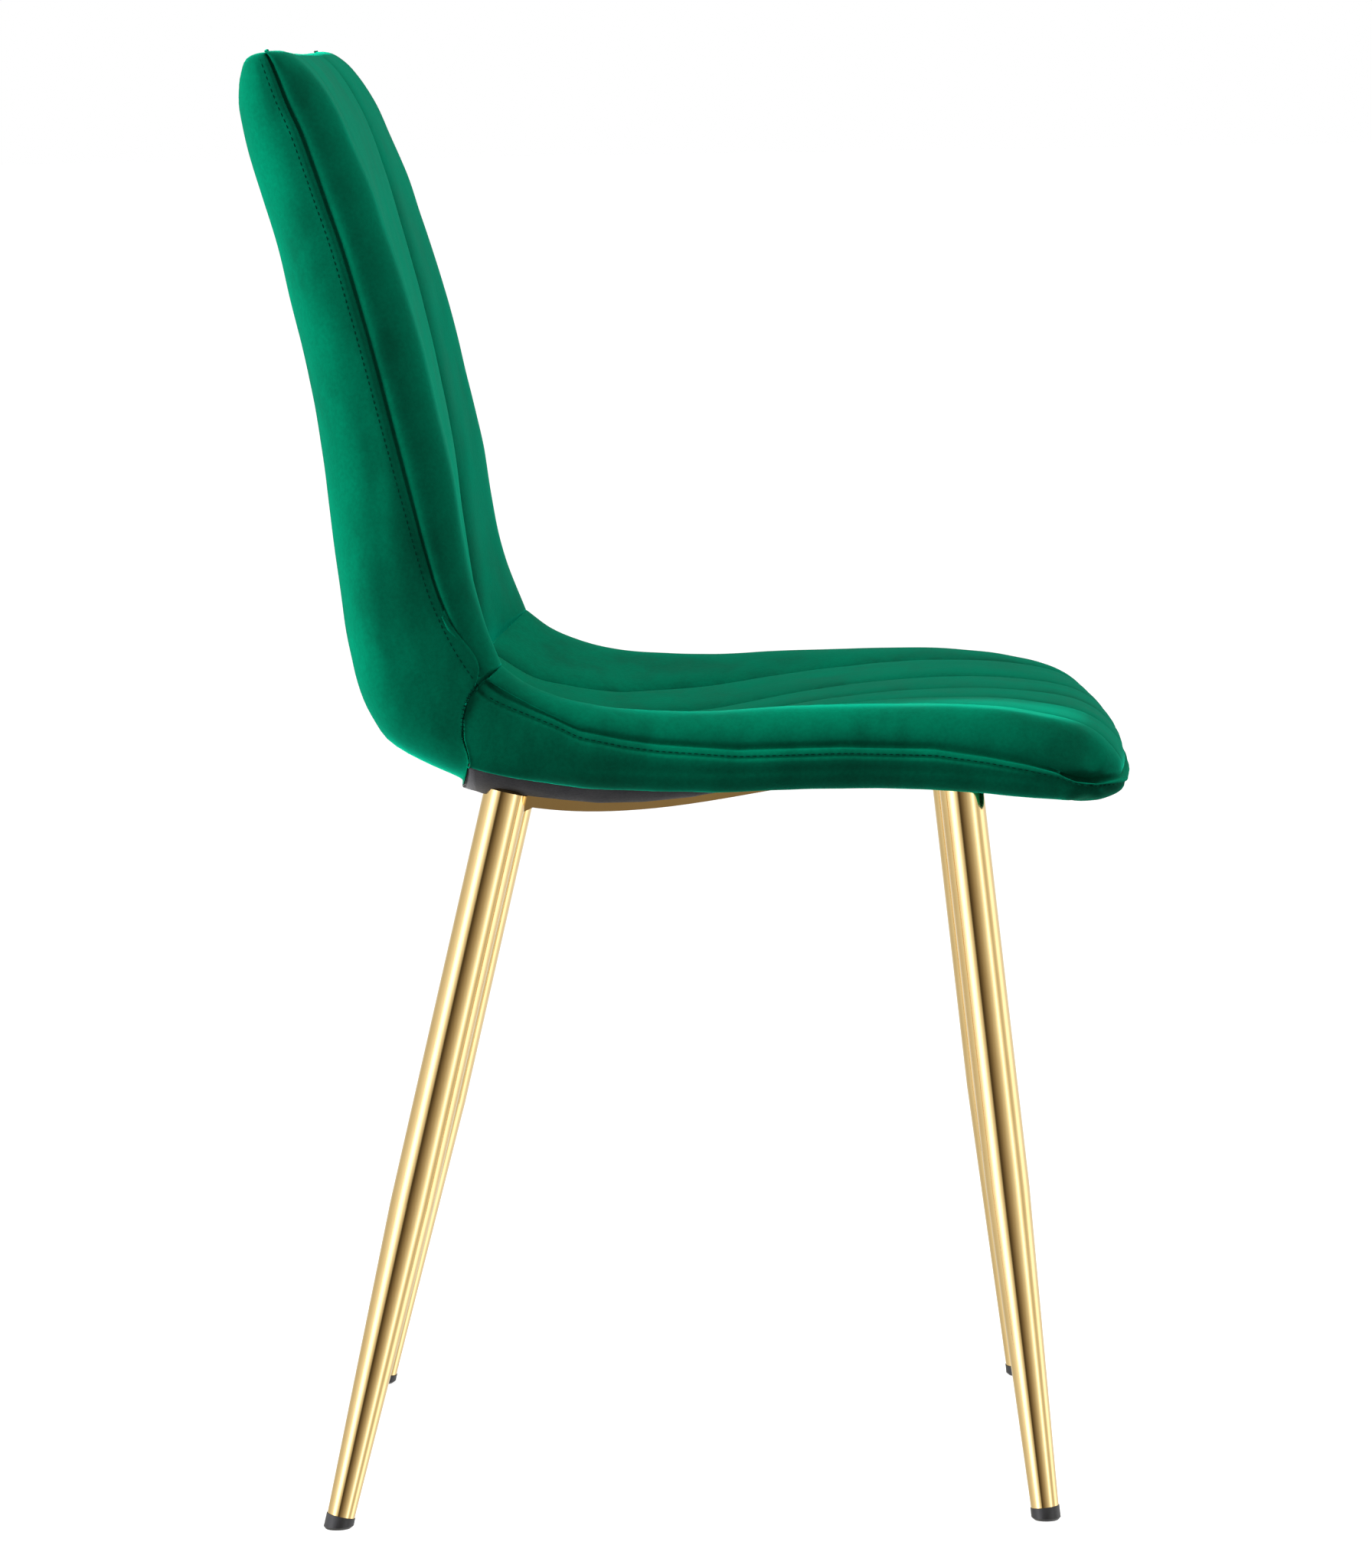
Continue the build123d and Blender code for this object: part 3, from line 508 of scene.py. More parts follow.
def build_seat(scale):
    """The seat's sewn cover, not yet swollen, and its side band's points. The scale coarsens its grid."""
    crest = SEAT[:, 0:2]
    knots = chord(crest)
    rows = spread(knots[-1], 1.3 * scale, 0.9 * scale, 3.8 * scale, 1.2)
    c = through(knots, crest, rows)
    back_run = np.interp(rows, knots, SEAT[:, 2])
    depth = through(knots, SEAT[:, 3], rows)
    along = np.gradient(c, rows, axis=0)
    along /= np.linalg.norm(along, axis=1)[:, None]
    first = np.array([BACK[1, 0] - SEAT[1, 0], BACK[1, 1] - SEAT[1, 1]], float)
    first = -first / np.linalg.norm(first)
    blend = smooth_step(rows / 26)[:, None]
    along = (1 - blend) * first + blend * along
    along /= np.linalg.norm(along, axis=1)[:, None]
    inward = np.stack([along[:, 1], -along[:, 0]], 1)
    share = np.clip((c[:, 0] - crest[0, 0]) / (NOSE_X - crest[0, 0]), 0, 1) ** 0.9
    limits = [low + (high - low) * share for low, high in SEAT_LINES] + [np.full(len(rows), EDGE)]
    half = np.stack([limits[k] + (limits[k + 1] - limits[k]) * t for k, t in seat_columns(scale)], 1)
    a = np.concatenate([-half[:, :0:-1], half], 1)
    y, angle = shoulder(a)
    turn = 1 - np.cos(angle)
    rounding = smooth_step((c[:, 0] - ROUND_FROM_X) / (NOSE_X - ROUND_FROM_X))[:, None]
    sunk = depth[:, None] * dish(y / CREST_Y)
    x = c[:, 0:1] + inward[:, 0:1] * sunk + back_run[:, None] * turn - corner_cut(y) * rounding
    z = c[:, 1:2] + inward[:, 1:2] * sunk
    seam_z = at_x(SEAT_SEAM, x)
    z = z + (seam_z - c[:, 1:2]) * turn
    top = np.stack([x, y, z], -1)

    from_nose = (knots[-1] - rows)[:, None]
    fade = 0.35 + 0.65 * smooth_step(from_nose / 35)
    push = np.zeros_like(x)
    for k, place in enumerate(limits[:-1]):
        away = np.abs(np.abs(a) - place[:, None])
        push = push + (valley(away, SEAT_LINE_DEEP, SEAT_LINE_WIDE)
                       + valley(away, THREAD_DEEP, SEAT_THREAD_WIDE)) * fade
    from_seam = EDGE - np.abs(a)
    corner = np.exp(-(((x - 240) / 22) ** 2 + ((np.abs(y) - 212) / 16) ** 2))
    push = push - (1.5 + 1.5 * corner) * np.exp(-from_seam / 3.4)
    push = push - SEAM_PULL * np.exp(-from_nose / NOSE_PULL_WIDE)
    push = push - NOSE_CUT * np.exp(-((np.minimum(from_nose, from_seam) / SEAM_CUT_WIDE) ** 2))
    push = push + crease_push(rows) * dish(y / CREST_Y)
    on_line = np.zeros_like(x)
    for place in limits[:-1]:
        on_line = np.maximum(on_line, np.abs(np.abs(a) - place[:, None]) < 1.0)
    pin = np.maximum(on_line, ((rows[:, None] < 2) | (from_seam < 0.5) | (from_nose < 0.5)).astype(float))

    shell = Shell()
    top_ids = shell.grid(top, push, pin)

    loop = np.concatenate([top[:, 0], top[-1, 1:], top[-2::-1, -1]])
    loop_ids = np.concatenate([top_ids[:, 0], top_ids[-1, 1:], top_ids[-2::-1, -1]])
    loop_push = np.concatenate([push[:, 0], push[-1, 1:], push[-2::-1, -1]])
    tangent = np.gradient(loop[:, :2], axis=0)
    tangent /= np.maximum(np.linalg.norm(tangent, axis=1), 1e-9)[:, None]
    out = np.stack([tangent[:, 1], -tangent[:, 0]], 1)
    steps = np.array(BAND_STEPS if scale == 1 else (BAND_STEPS[0], STITCH_OFF, BAND_STEPS[-1]))
    later = np.linspace(0, 1, max(6, int(30 / scale)))[1:]
    band, band_push = [], []
    for q, place in enumerate(loop):
        column, drawn_in = band_column(place, out[q], steps, later)
        drawn_in[0] = loop_push[q]
        band.append(column)
        band_push.append(drawn_in)
    band, band_push = np.array(band), np.array(band_push)
    band_ids = shell.grid(band, band_push, 0.0)
    band_ids[:, 0] = loop_ids

    front_start = len(rows) - 1
    front_end = front_start + a.shape[1]
    rim_ids = band_ids[:, -1]
    near, across, far = rim_ids[:len(rows)], rim_ids[front_start:front_end], rim_ids[front_end - 1:][::-1]
    rim = band[:, -1]
    near_p, across_p, far_p = rim[:len(rows)], rim[front_start:front_end], rim[front_end - 1:][::-1]
    back_row = np.linspace(near_p[0], far_p[0], a.shape[1])
    under = patch(back_row, across_p, near_p, far_p)
    under[1:-1, 1:-1, 2] = under_z(under[1:-1, 1:-1, 0]) - UNDER_GAP
    under_ids = shell.grid(under, None, 1.0)
    under_ids[:, 0], under_ids[:, -1], under_ids[-1] = near, far, across

    closing = patch(top[0], back_row, band[0], band[-1])
    closing_ids = shell.grid(closing, -HIDDEN_GAP, 1.0)
    closing_ids[0], closing_ids[-1] = top_ids[0], under_ids[0]
    closing_ids[:, 0], closing_ids[:, -1] = band_ids[0], band_ids[-1]
    for ids in (top_ids, band_ids, under_ids, closing_ids):
        shell.skin(ids)
    return shell, band


# ---- cloth simulation ------------------------------------

SIM_SCALE = 3.0
SIM_FRAMES = 16
SWELL_CAP = 2.2
SIM_PRESSURE = 3.0
TIPS_SEEN_FROM_SIDE = ((-246.0, 893.0), (-125.0, 517.0), (-141.0, 444.0))
TIPS = [(x, side * SEAM_Y, z) for side in (-1, 1) for x, z in TIPS_SEEN_FROM_SIDE]
TIP_REACH = 7.0


def swell(shell):
    """How a coarse copy of the cushion swells between its seams, in millimetres at each vertex."""
    mesh, used = shell.mesh("swell")
    outward(mesh)
    body = put("swell", mesh)
    start = places(mesh)
    pins = np.concatenate(shell.values["pin"])[used]
    group = body.vertex_groups.new(name="pins")
    for i in np.nonzero(pins > 0.5)[0]:
        group.add([int(i)], 1.0, "REPLACE")
    cloth = body.modifiers.new("cloth", "CLOTH")
    cloth.settings.quality = 5
    cloth.settings.mass = 0.25
    cloth.settings.tension_stiffness = 12
    cloth.settings.compression_stiffness = 6
    cloth.settings.shear_stiffness = 4
    cloth.settings.bending_stiffness = 0.4
    cloth.settings.air_damping = 2
    cloth.settings.vertex_group_mass = "pins"
    cloth.settings.use_pressure = True
    cloth.settings.uniform_pressure_force = SIM_PRESSURE
    cloth.settings.effector_weights.gravity = 0
    cloth.collision_settings.use_collision = False
    cloth.point_cache.frame_start = 1
    cloth.point_cache.frame_end = SIM_FRAMES
    scene = bpy.context.scene
    for step in range(1, SIM_FRAMES + 1):
        scene.frame_set(step)
    seen = body.evaluated_get(bpy.context.evaluated_depsgraph_get())
    moved = places(seen.to_mesh()) - start
    seen.to_mesh_clear()
    scene.frame_set(1)
    bpy.data.objects.remove(body)
    moved /= MM
    size = np.linalg.norm(moved, axis=1)
    moved *= (SWELL_CAP * np.tanh(size / SWELL_CAP) / np.maximum(size, 1e-9))[:, None]
    return start / MM, moved


def carry(points, start, moved):
    """The coarse swelling read at finer points: a smooth mean of the nearest ones."""
    tree = KDTree(len(start))
    for i, place in enumerate(start):
        tree.insert(place, i)
    tree.balance()
    out = np.zeros_like(points)
    for k, place in enumerate(points):
        near = tree.find_n(place, 9)
        reach = near[-1][2] * 1.001 + 1e-6
        weight = np.array([(1 - (d / reach) ** 2) ** 2 for _, _, d in near])
        out[k] = (moved[[i for _, i, _ in near]] * weight[:, None]).sum(0) / weight.sum()
    return out


def even_out(mesh, field, rounds, share=1.0):
    """The field averaged over the mesh's edges for some rounds, fully or by a share at each vertex."""
    edges = np.zeros(len(mesh.edges) * 2, int)
    mesh.edges.foreach_get("vertices", edges)
    a, b = edges.reshape(-1, 2).T
    count = len(field)
    degree = np.bincount(edges, minlength=count).astype(float)[:, None]
    for _ in range(rounds):
        sums = [np.bincount(a, field[b, k], count) + np.bincount(b, field[a, k], count) for k in range(3)]
        field = field + 0.6 * share * (np.stack(sums, 1) / degree - field)
    return field


def upholster(name, shell, coarse, material, nodes, detail):
    """A cushion from its sewn shell: swollen, drawn in at its seams, then put in the place of some nodes."""
    mesh, used = shell.mesh(name)
    outward(mesh)
    points = places(mesh) / MM
    push = np.concatenate(shell.values["push"])[used]
    normal = normals(mesh)
    start, moved = swell(coarse)
    puff = even_out(mesh, carry(points, start, moved), 6)
    print(name, "swell mm", round(float(np.linalg.norm(puff, axis=1).max()), 2))
    points = points + puff
    points = points + normal * (push + detail(points))[:, None]
    points = soften(mesh, points, TIPS, TIP_REACH)
    set_places(mesh, points * MM)
    piece = add(name, mesh, material)
    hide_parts(*nodes)
    return piece


def soften(mesh, points, knots, reach, rounds=14):
    """The points with the mesh's sharp tips near some places drawn into their surroundings."""
    away = np.min([np.linalg.norm(points - np.array(knot), axis=1) for knot in knots], axis=0)
    return even_out(mesh, points, rounds, (1 - smooth_step(away / reach))[:, None])


CORNER_GATHER = (243.0, 209.0, 450.0)  # where the seat's cover gathers at its front corners
GATHER_DEEP = 0.9
SLOT_DEEP = 3.2  # the open fold in the seam there


def back_detail(points):
    """Slow unevenness of padding and cloth."""
    return 0.7 * lumps(points, 70.0, 1) + 0.25 * lumps(points, 24.0, 2)


def seat_detail(points):
    """Unevenness, and the gathers where the seat's cover turns its front corners."""
    field = 0.6 * lumps(points, 65.0, 3) + 0.25 * lumps(points, 22.0, 4)
    for side in (-1, 1):
        away = points - np.array(CORNER_GATHER) * (1, side, 1)
        reach = np.linalg.norm(away, axis=1)
        angle = np.arctan2(away[:, 2], away[:, 0])
        field += GATHER_DEEP * np.cos(5 * angle + 0.6) * np.exp(-((reach - 12) / 11) ** 2)
        slot = np.exp(-((away[:, 0] / 11) ** 2) - ((away[:, 2] + 0.12 * away[:, 0]) / 2.0) ** 2)
        field -= SLOT_DEEP * slot * (np.abs(away[:, 1]) < 25)
    return field


# ---- threads ---------------------------------------------


THREAD = 0.55  # thickness of the topstitch
STITCH_LONG = 3.0
STITCH_PITCH = 3.9
WHIP_THREAD = 0.7  # the stitches across the seam between back and seat
WHIP_REACH = 1.3
WHIP_PITCH = 2.6
# A stitch from end to end: share of its length, share of its thickness, and height off the cloth.
STITCH_SHAPE = ((0, 0.25, -0.9), (0.12, 0.8, -0.15), (0.5, 1, 0.12), (0.88, 0.8, -0.15), (1, 0.25, -0.9))


def read_line(run, values, at):
    """The values along a line, read at one running length."""
    return np.array([np.interp(at, run, values[:, k]) for k in range(3)])


def stitches(name, lines, material, length, pitch, thick, across=0.0):
    """Short thread stitches along lines of (points, outward directions) in millimetres."""
    points, faces = [], []
    ring = [(math.cos(k * math.pi / 3), math.sin(k * math.pi / 3)) for k in range(6)]
    for line, outs in lines:
        run = chord(line)
        for start in np.arange(pitch, run[-1] - length, pitch):
            ends = [read_line(run, line, start), read_line(run, line, start + length)]
            out = read_line(run, outs, start)
            out /= np.linalg.norm(out)
            along = (ends[1] - ends[0]) / np.linalg.norm(ends[1] - ends[0])
            if across:
                side = np.cross(out, along)
                middle = (ends[0] + ends[1]) / 2
                ends = [middle - side * across, middle + side * across]
                along = side
            side = np.cross(along, out)
            base = len(points)
            for t, size, lift in STITCH_SHAPE:
                middle = ends[0] + (ends[1] - ends[0]) * t + out * lift * thick
                for a, b in ring:
                    points.append(middle + (side * a + out * b) * size * thick / 2)
            for r in range(4):
                for k in range(6):
                    a, b = base + 6 * r + k, base + 6 * r + (k + 1) % 6
                    faces.append((a, b, b + 6, a + 6))
            faces.append(tuple(base + k for k in range(5, -1, -1)))
            faces.append(tuple(base + 24 + k for k in range(6)))
    mesh = bpy.data.meshes.new(name)
    mesh.from_pydata((np.array(points) * MM).tolist(), [], faces)
    mesh.update()
    return add(name, mesh, material)


def on_surface(pieces, line, toward, lift):
    """The line's points moved onto the nearest surface of the pieces, and the surface's directions there."""
    made, outs = [], []
    for place, way in zip(line, toward):
        best = None
        for piece in pieces:
            origin = Vector((place + way * 12) * MM)
            hit, spot, direction, _ = piece.ray_cast(origin, Vector(-way), distance=0.03)
            if hit and (best is None or (origin - spot).length < best[2]):
                best = (spot, direction, (origin - spot).length)
        if best is None:
            continue
        made.append(np.array(best[0]) / MM + np.array(best[1]) * lift)
        outs.append(np.array(best[1]))
    return np.array(made), np.array(outs)


def side_lines(pieces, line, lift):
    """A line of (x, z) points laid on both side panels of the pieces."""
    made = []
    for side in (-1, 1):
        points = np.stack([line[:, 0], np.full(len(line), side * SEAM_Y), line[:, 1]], 1)
        toward = np.tile(np.array([0.0, side, 0.0]), (len(line), 1))
        made.append(on_surface(pieces, points, toward, lift))
    return made


# ---- black cover -----------------------------------------

COVER_LOW = [(-142, 452), (-134, 448), (-126, 445), (-101, 444.5), (-80, 441), (-57, 438.6), (-30, 438.8),
             (1, 441.5), (40, 450)]  # lower edge of the cover's wings
COVER_REAR_X = (-139.5, -137.0)  # its turned-up rear edge
COVER_REAR_Z = 446.5
COVER_FLAT_Y = 189.0  # its flat part ends here, and its wings start
COVER_WING_Y = 196.5
COVER_REAR_OUT_Y = 211.0  # top edge of the wings at the rear
COVER_OUT_Y = 203.0  # and towards the front
COVER_WINGS_END = 45.0  # no wings in front of this x
COVER_SAG = 2.6
COVER_SAG_Y = 168.0  # no sag outside this
COVER_THICK = 0.75
COVER_BELOW = 0.15
RIPPLE = 26.0  # length of its ripples


def cover_half(x, bars):
    """Half of the black cover's section at x, from the middle out: (y, z)."""
    y_flat = np.linspace(0, COVER_FLAT_Y, 48)
    roof = float(under_z(np.array(max(x, -119.0)))) - 0.35
    edge_z = float(at_x(LOWER_EDGE, x))
    low_z = min(float(at_x(COVER_LOW, x)), edge_z - 0.5, roof)
    away = min(abs(x - np.clip(x, a, b)) for a, b in bars)
    across = np.clip(np.cos(np.pi * y_flat / 2 / COVER_SAG_Y), 0, 1) ** 0.7
    sag = COVER_SAG * float(smooth_step(away / 45)) * across
    waves = np.array([noise.noise(Vector((x / RIPPLE, y / RIPPLE, 0.4))) for y in y_flat])
    flat = np.stack([y_flat, roof - np.maximum(sag + 0.9 * waves * np.clip(sag, 0, 1), 0)], 1)
    outward_run = float(smooth_step((x - CREASE_SEAM_X) / 45))
    outer_y = COVER_REAR_OUT_Y + (COVER_OUT_Y - COVER_REAR_OUT_Y) * outward_run
    outer_z = edge_z + 1.0
    wing = np.array([(COVER_FLAT_Y + 1.5, roof), (COVER_WING_Y - 3.5, low_z), (COVER_WING_Y, low_z + 0.5),
                     ((COVER_WING_Y + outer_y) / 2, (low_z + outer_z) / 2 - 0.8), (outer_y, outer_z)])
    step = np.arange(len(wing))
    tucked = np.stack([COVER_FLAT_Y + 0.4 + 0.4 * step, roof + 0.2 * step], 1)
    wing_fade = 1 - float(smooth_step(x / COVER_WINGS_END))
    return np.concatenate([flat, wing_fade * wing + (1 - wing_fade) * tucked])


def build_black():
    """The non-woven cover under the seat, with wings up to the velvet and a slight sag between the bars."""
    boxes = [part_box(name) for name in ("cross_bar_rear", "cross_bar_front")]
    bars = [(low.x / MM, high.x / MM) for low, high in boxes]
    sections = []
    for x in np.concatenate([COVER_REAR_X, np.linspace(-133.5, 217, 112)]):
        half = cover_half(x, bars)
        full = np.concatenate([half[:0:-1] * [-1, 1], half])
        tuck = max(0.0, (-133.5 - x) / 7)
        y = full[:, 0] * (1 - 0.15 * tuck)
        z = full[:, 1] + (COVER_REAR_Z - full[:, 1]) * tuck
        sections.append(np.stack([np.full(len(full), x), y, z - COVER_BELOW], 1))
    top = np.array(sections)
    low = top - (0, 0, COVER_THICK)
    shell = Shell()
    low_ids, top_ids = shell.grid(low), shell.grid(top)
    shell.skin(low_ids)
    shell.skin(top_ids[:, ::-1])
    for end in (0, -1):
        shell.skin(np.stack([low_ids[end], top_ids[end]]))
        shell.skin(np.stack([low_ids[:, end], top_ids[:, end]]))
    mesh, _ = shell.mesh("underside_cover")
    outward(mesh)
    return mesh


# ---- materials -------------------------------------------


class Nodes:
    """Short-hand for building one material's node tree."""

    def __init__(self, name):
        self.material = bpy.data.materials.new(name)
        self.material.use_nodes = True
        self.tree = self.material.node_tree
        self.shader = self.tree.nodes["Principled BSDF"]
        self.coords = self.new("ShaderNodeTexCoord")

    def new(self, kind, **settings):
        node = self.tree.nodes.new(kind)
        for key, value in settings.items():
            setattr(node, key, value)
        return node

    def link(self, a, b):
        self.tree.links.new(a, b)

    def feed(self, name, value):
        self.link(value, self.shader.inputs[name])

    def noise(self, scale, detail=2.0, rough=0.5, stretch=(1, 1, 1)):
        place = self.new("ShaderNodeMapping")
        place.inputs["Scale"].default_value = stretch
        self.link(self.coords.outputs["Object"], place.inputs["Vector"])
        made = self.new("ShaderNodeTexNoise")
        made.inputs["Scale"].default_value = scale
        made.inputs["Detail"].default_value = detail
        made.inputs["Roughness"].default_value = rough
        self.link(place.outputs["Vector"], made.inputs["Vector"])
        return made.outputs["Fac"]

    def ramp(self, value, stops):
        made = self.new("ShaderNodeValToRGB")
        for k, (place, colour) in enumerate(stops):
            spot = made.color_ramp.elements[k] if k < 2 else made.color_ramp.elements.new(place)
            spot.position = place
            spot.color = (*colour, 1) if hasattr(colour, "__len__") else (colour, colour, colour, 1)
        self.link(value, made.inputs["Fac"])
        return made.outputs["Color"]

    def mix(self, factor, a, b, mode="MIX"):
        made = self.new("ShaderNodeMix", data_type="RGBA", blend_type=mode)
        for socket, given in ((made.inputs[0], factor), (made.inputs[6], a), (made.inputs[7], b)):
            if isinstance(given, bpy.types.NodeSocket):
                self.link(given, socket)
            elif hasattr(given, "__len__"):
                socket.default_value = (*given, 1)
            else:
                socket.default_value = given
        return made.outputs[2]

    def bump(self, height, strength, distance, after=None):
        made = self.new("ShaderNodeBump")
        made.inputs["Strength"].default_value = strength
        made.inputs["Distance"].default_value = distance
        self.link(height, made.inputs["Height"])
        if after is not None:
            self.link(after, made.inputs["Normal"])
        self.feed("Normal", made.outputs["Normal"])
        return made.outputs["Normal"]

    def set(self, **values):
        for name, value in values.items():
            self.shader.inputs[name.replace("_", " ")].default_value = value


def velvet():
    made = Nodes("green_velvet")
    broad = made.noise(7.0, 3.0, 0.55)
    patches = made.noise(26.0, 3.0, 0.6, (1, 1, 0.6))
    grain = made.noise(420.0, 2.0, 0.6)
    pile = made.noise(1500.0, 1.0, 0.5)
    colour = made.ramp(broad, [(0.3, (0.0, 0.078, 0.040)), (0.7, (0.0, 0.100, 0.052))])
    brushed = made.ramp(patches, [(0.36, 0.76), (0.5, 1.0), (0.66, 1.16)])
    colour = made.mix(1.0, colour, brushed, "MULTIPLY")
    fine = made.ramp(grain, [(0.3, 0.90), (0.7, 1.10)])
    colour = made.mix(1.0, colour, fine, "MULTIPLY")
    made.feed("Base Color", colour)
    rough = made.ramp(patches, [(0.3, 0.72), (0.7, 0.9)])
    made.feed("Roughness", rough)
    made.set(Sheen_Weight=0.8, Sheen_Roughness=0.38, Sheen_Tint=(0.0, 0.60, 0.36, 1), Specular_IOR_Level=0.05)
    folds = made.bump(patches, 0.22, 0.0016)
    weave = made.bump(grain, 0.25, 0.0004, folds)
    made.bump(pile, 0.2, 0.0002, weave)
    return made.material


def thread():
    made = Nodes("green_thread")
    twist = made.noise(900.0, 2.0, 0.5, (1, 1, 3))
    colour = made.ramp(twist, [(0.3, (0.0, 0.012, 0.007)), (0.7, (0.0, 0.026, 0.015))])
    made.feed("Base Color", colour)
    made.set(Roughness=0.9, Specular_IOR_Level=0.05)
    made.bump(twist, 0.4, 0.0002)
    return made.material


def cambric():
    made = Nodes("black_cambric")
    fibres = made.noise(700.0, 4.0, 0.7, (1, 3, 1))
    cloud = made.noise(60.0, 3.0, 0.6)
    colour = made.ramp(fibres, [(0.3, (0.006, 0.006, 0.009)), (0.7, (0.020, 0.020, 0.028))])
    colour = made.mix(1.0, colour, made.ramp(cloud, [(0.3, 0.8), (0.7, 1.15)]), "MULTIPLY")
    made.feed("Base Color", colour)
    made.feed("Roughness", made.ramp(cloud, [(0.3, 0.7), (0.7, 0.88)]))
    made.set(Sheen_Weight=0.25, Sheen_Roughness=0.5)
    made.bump(fibres, 0.5, 0.0004)
    return made.material


def gold():
    made = Nodes("gold_steel")
    drawn = made.noise(260.0, 3.0, 0.6, (1, 1, 0.03))
    smudge = made.noise(38.0, 3.0, 0.6)
    colour = made.ramp(smudge, [(0.3, (0.76, 0.545, 0.255)), (0.7, (0.80, 0.585, 0.285))])
    made.feed("Base Color", colour)
    base = made.ramp(smudge, [(0.35, 0.07), (0.7, 0.095)])
    streak = made.ramp(drawn, [(0.3, 0.9), (0.7, 1.12)])
    made.feed("Roughness", made.mix(1.0, base, streak, "MULTIPLY"))
    made.set(Metallic=1.0)
    made.bump(drawn, 0.03, 0.0002)
    return made.material


def zinc():
    made = Nodes("zinc_steel")
    spangle = made.noise(300.0, 3.0, 0.6)
    colour = made.ramp(spangle, [(0.3, (0.50, 0.51, 0.53)), (0.7, (0.66, 0.67, 0.68))])
    made.feed("Base Color", colour)
    made.feed("Roughness", made.ramp(spangle, [(0.3, 0.28), (0.7, 0.42)]))
    made.set(Metallic=1.0)
    made.bump(spangle, 0.1, 0.0002)
    return made.material


def plastic():
    made = Nodes("black_plastic")
    grain = made.noise(800.0, 3.0, 0.6)
    wear = made.noise(90.0, 3.0, 0.6)
    colour = made.ramp(wear, [(0.3, (0.010, 0.010, 0.012)), (0.75, (0.026, 0.026, 0.029))])
    made.feed("Base Color", colour)
    made.feed("Roughness", made.ramp(wear, [(0.3, 0.38), (0.7, 0.55)]))
    made.bump(grain, 0.25, 0.0002)
    return made.material


def wood():
    made = Nodes("plywood")
    plies = made.noise(14.0, 4.0, 0.6, (1, 9, 1))
    colour = made.ramp(plies, [(0.3, (0.42, 0.26, 0.13)), (0.7, (0.60, 0.41, 0.23))])
    made.feed("Base Color", colour)
    made.feed("Roughness", made.ramp(plies, [(0.3, 0.55), (0.7, 0.7)]))
    made.bump(plies, 0.2, 0.0004)
    return made.material


# ---- the chair -------------------------------------------

green, dark_thread, black = velvet(), thread(), cambric()
finish = {"gold_steel": gold(), "zinc_steel": zinc(), "black_plastic": plastic(), "plywood": wood()}
CORNERS = ("front_right", "front_left", "rear_right", "rear_left")
CARRIED = {
    "gold_steel": [f"{part}_{corner}" for part in ("leg", "leg_cap") for corner in CORNERS]
    + ["side_rail_right", "side_rail_left", "cross_bar_rear", "cross_bar_front", "gussets"],
    "zinc_steel": ["frame_bolts", "flat_washers", "spring_washers", "t_nuts", "staples"],
    "black_plastic": [f"foot_plug_{corner}" for corner in CORNERS],
    "plywood": ["plywood_shell"],
}
for kind, names in CARRIED.items():
    for name in names:
        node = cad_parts[name]
        if not node.data.materials:
            node.data.materials.append(finish[kind])
        for k in range(len(node.material_slots)):
            node.material_slots[k].material = finish[kind]

back = upholster("back_cushion", build_back(1.0), build_back(SIM_SCALE), green,
                 ("back_cover_front", "back_cover_rear", "back_foam", "rear_padding"), back_detail)
seat_shell, seat_band = build_seat(1.0)
seat = upholster("seat_cushion", seat_shell, build_seat(SIM_SCALE)[0], green,
                 ("seat_cover_top", "seat_cover_side", "seat_foam"), seat_detail)

black_mesh = build_black()
cover = add("underside_cover", black_mesh, black)
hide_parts("dust_cover")

bpy.context.view_layer.update()
knots = chord(BACK[:, 0:2])
rows = np.arange(3.0, knots[-1] - 4, 3.0)
seam_now = through(knots, BACK[:, 2:4], rows)
away = through(knots, BACK[:, 4:6], rows) - seam_now
away /= np.linalg.norm(away, axis=1)[:, None]
lines = side_lines([back], seam_now + away * STITCH_OFF, 0.0)
stitches("back_topstitch", lines, dark_thread, STITCH_LONG, STITCH_PITCH, THREAD)

k = int(np.argmin(abs(chord(seat_band[0])[:len(BAND_STEPS)] - STITCH_OFF)))
loop_line = seat_band[4:-4, k]
toward = np.gradient(loop_line, axis=0)[:, :2]
toward = np.stack([toward[:, 1], -toward[:, 0], toward[:, 0] * 0], 1)
toward /= np.linalg.norm(toward, axis=1)[:, None]
lines = [on_surface([seat], loop_line, toward, 0.0)]
stitches("seat_topstitch", lines, dark_thread, STITCH_LONG, STITCH_PITCH, THREAD)

edge = np.array(DIVISION[:-1], float)
run = chord(edge)
edge = through(run, edge, np.arange(2, run[-1] - 1, 1.5))
lines = side_lines([back, seat], edge, 0.35)
stitches("division_stitches", lines, dark_thread, 1.2, WHIP_PITCH, WHIP_THREAD, WHIP_REACH)

# ---- room, light and camera ------------------------------


def make(tree, kind, **values):
    """A new shader node in a tree, with some of its inputs set."""
    node = tree.nodes.new("ShaderNode" + kind)
    for name, value in values.items():
        node.inputs[name].default_value = value
    return node


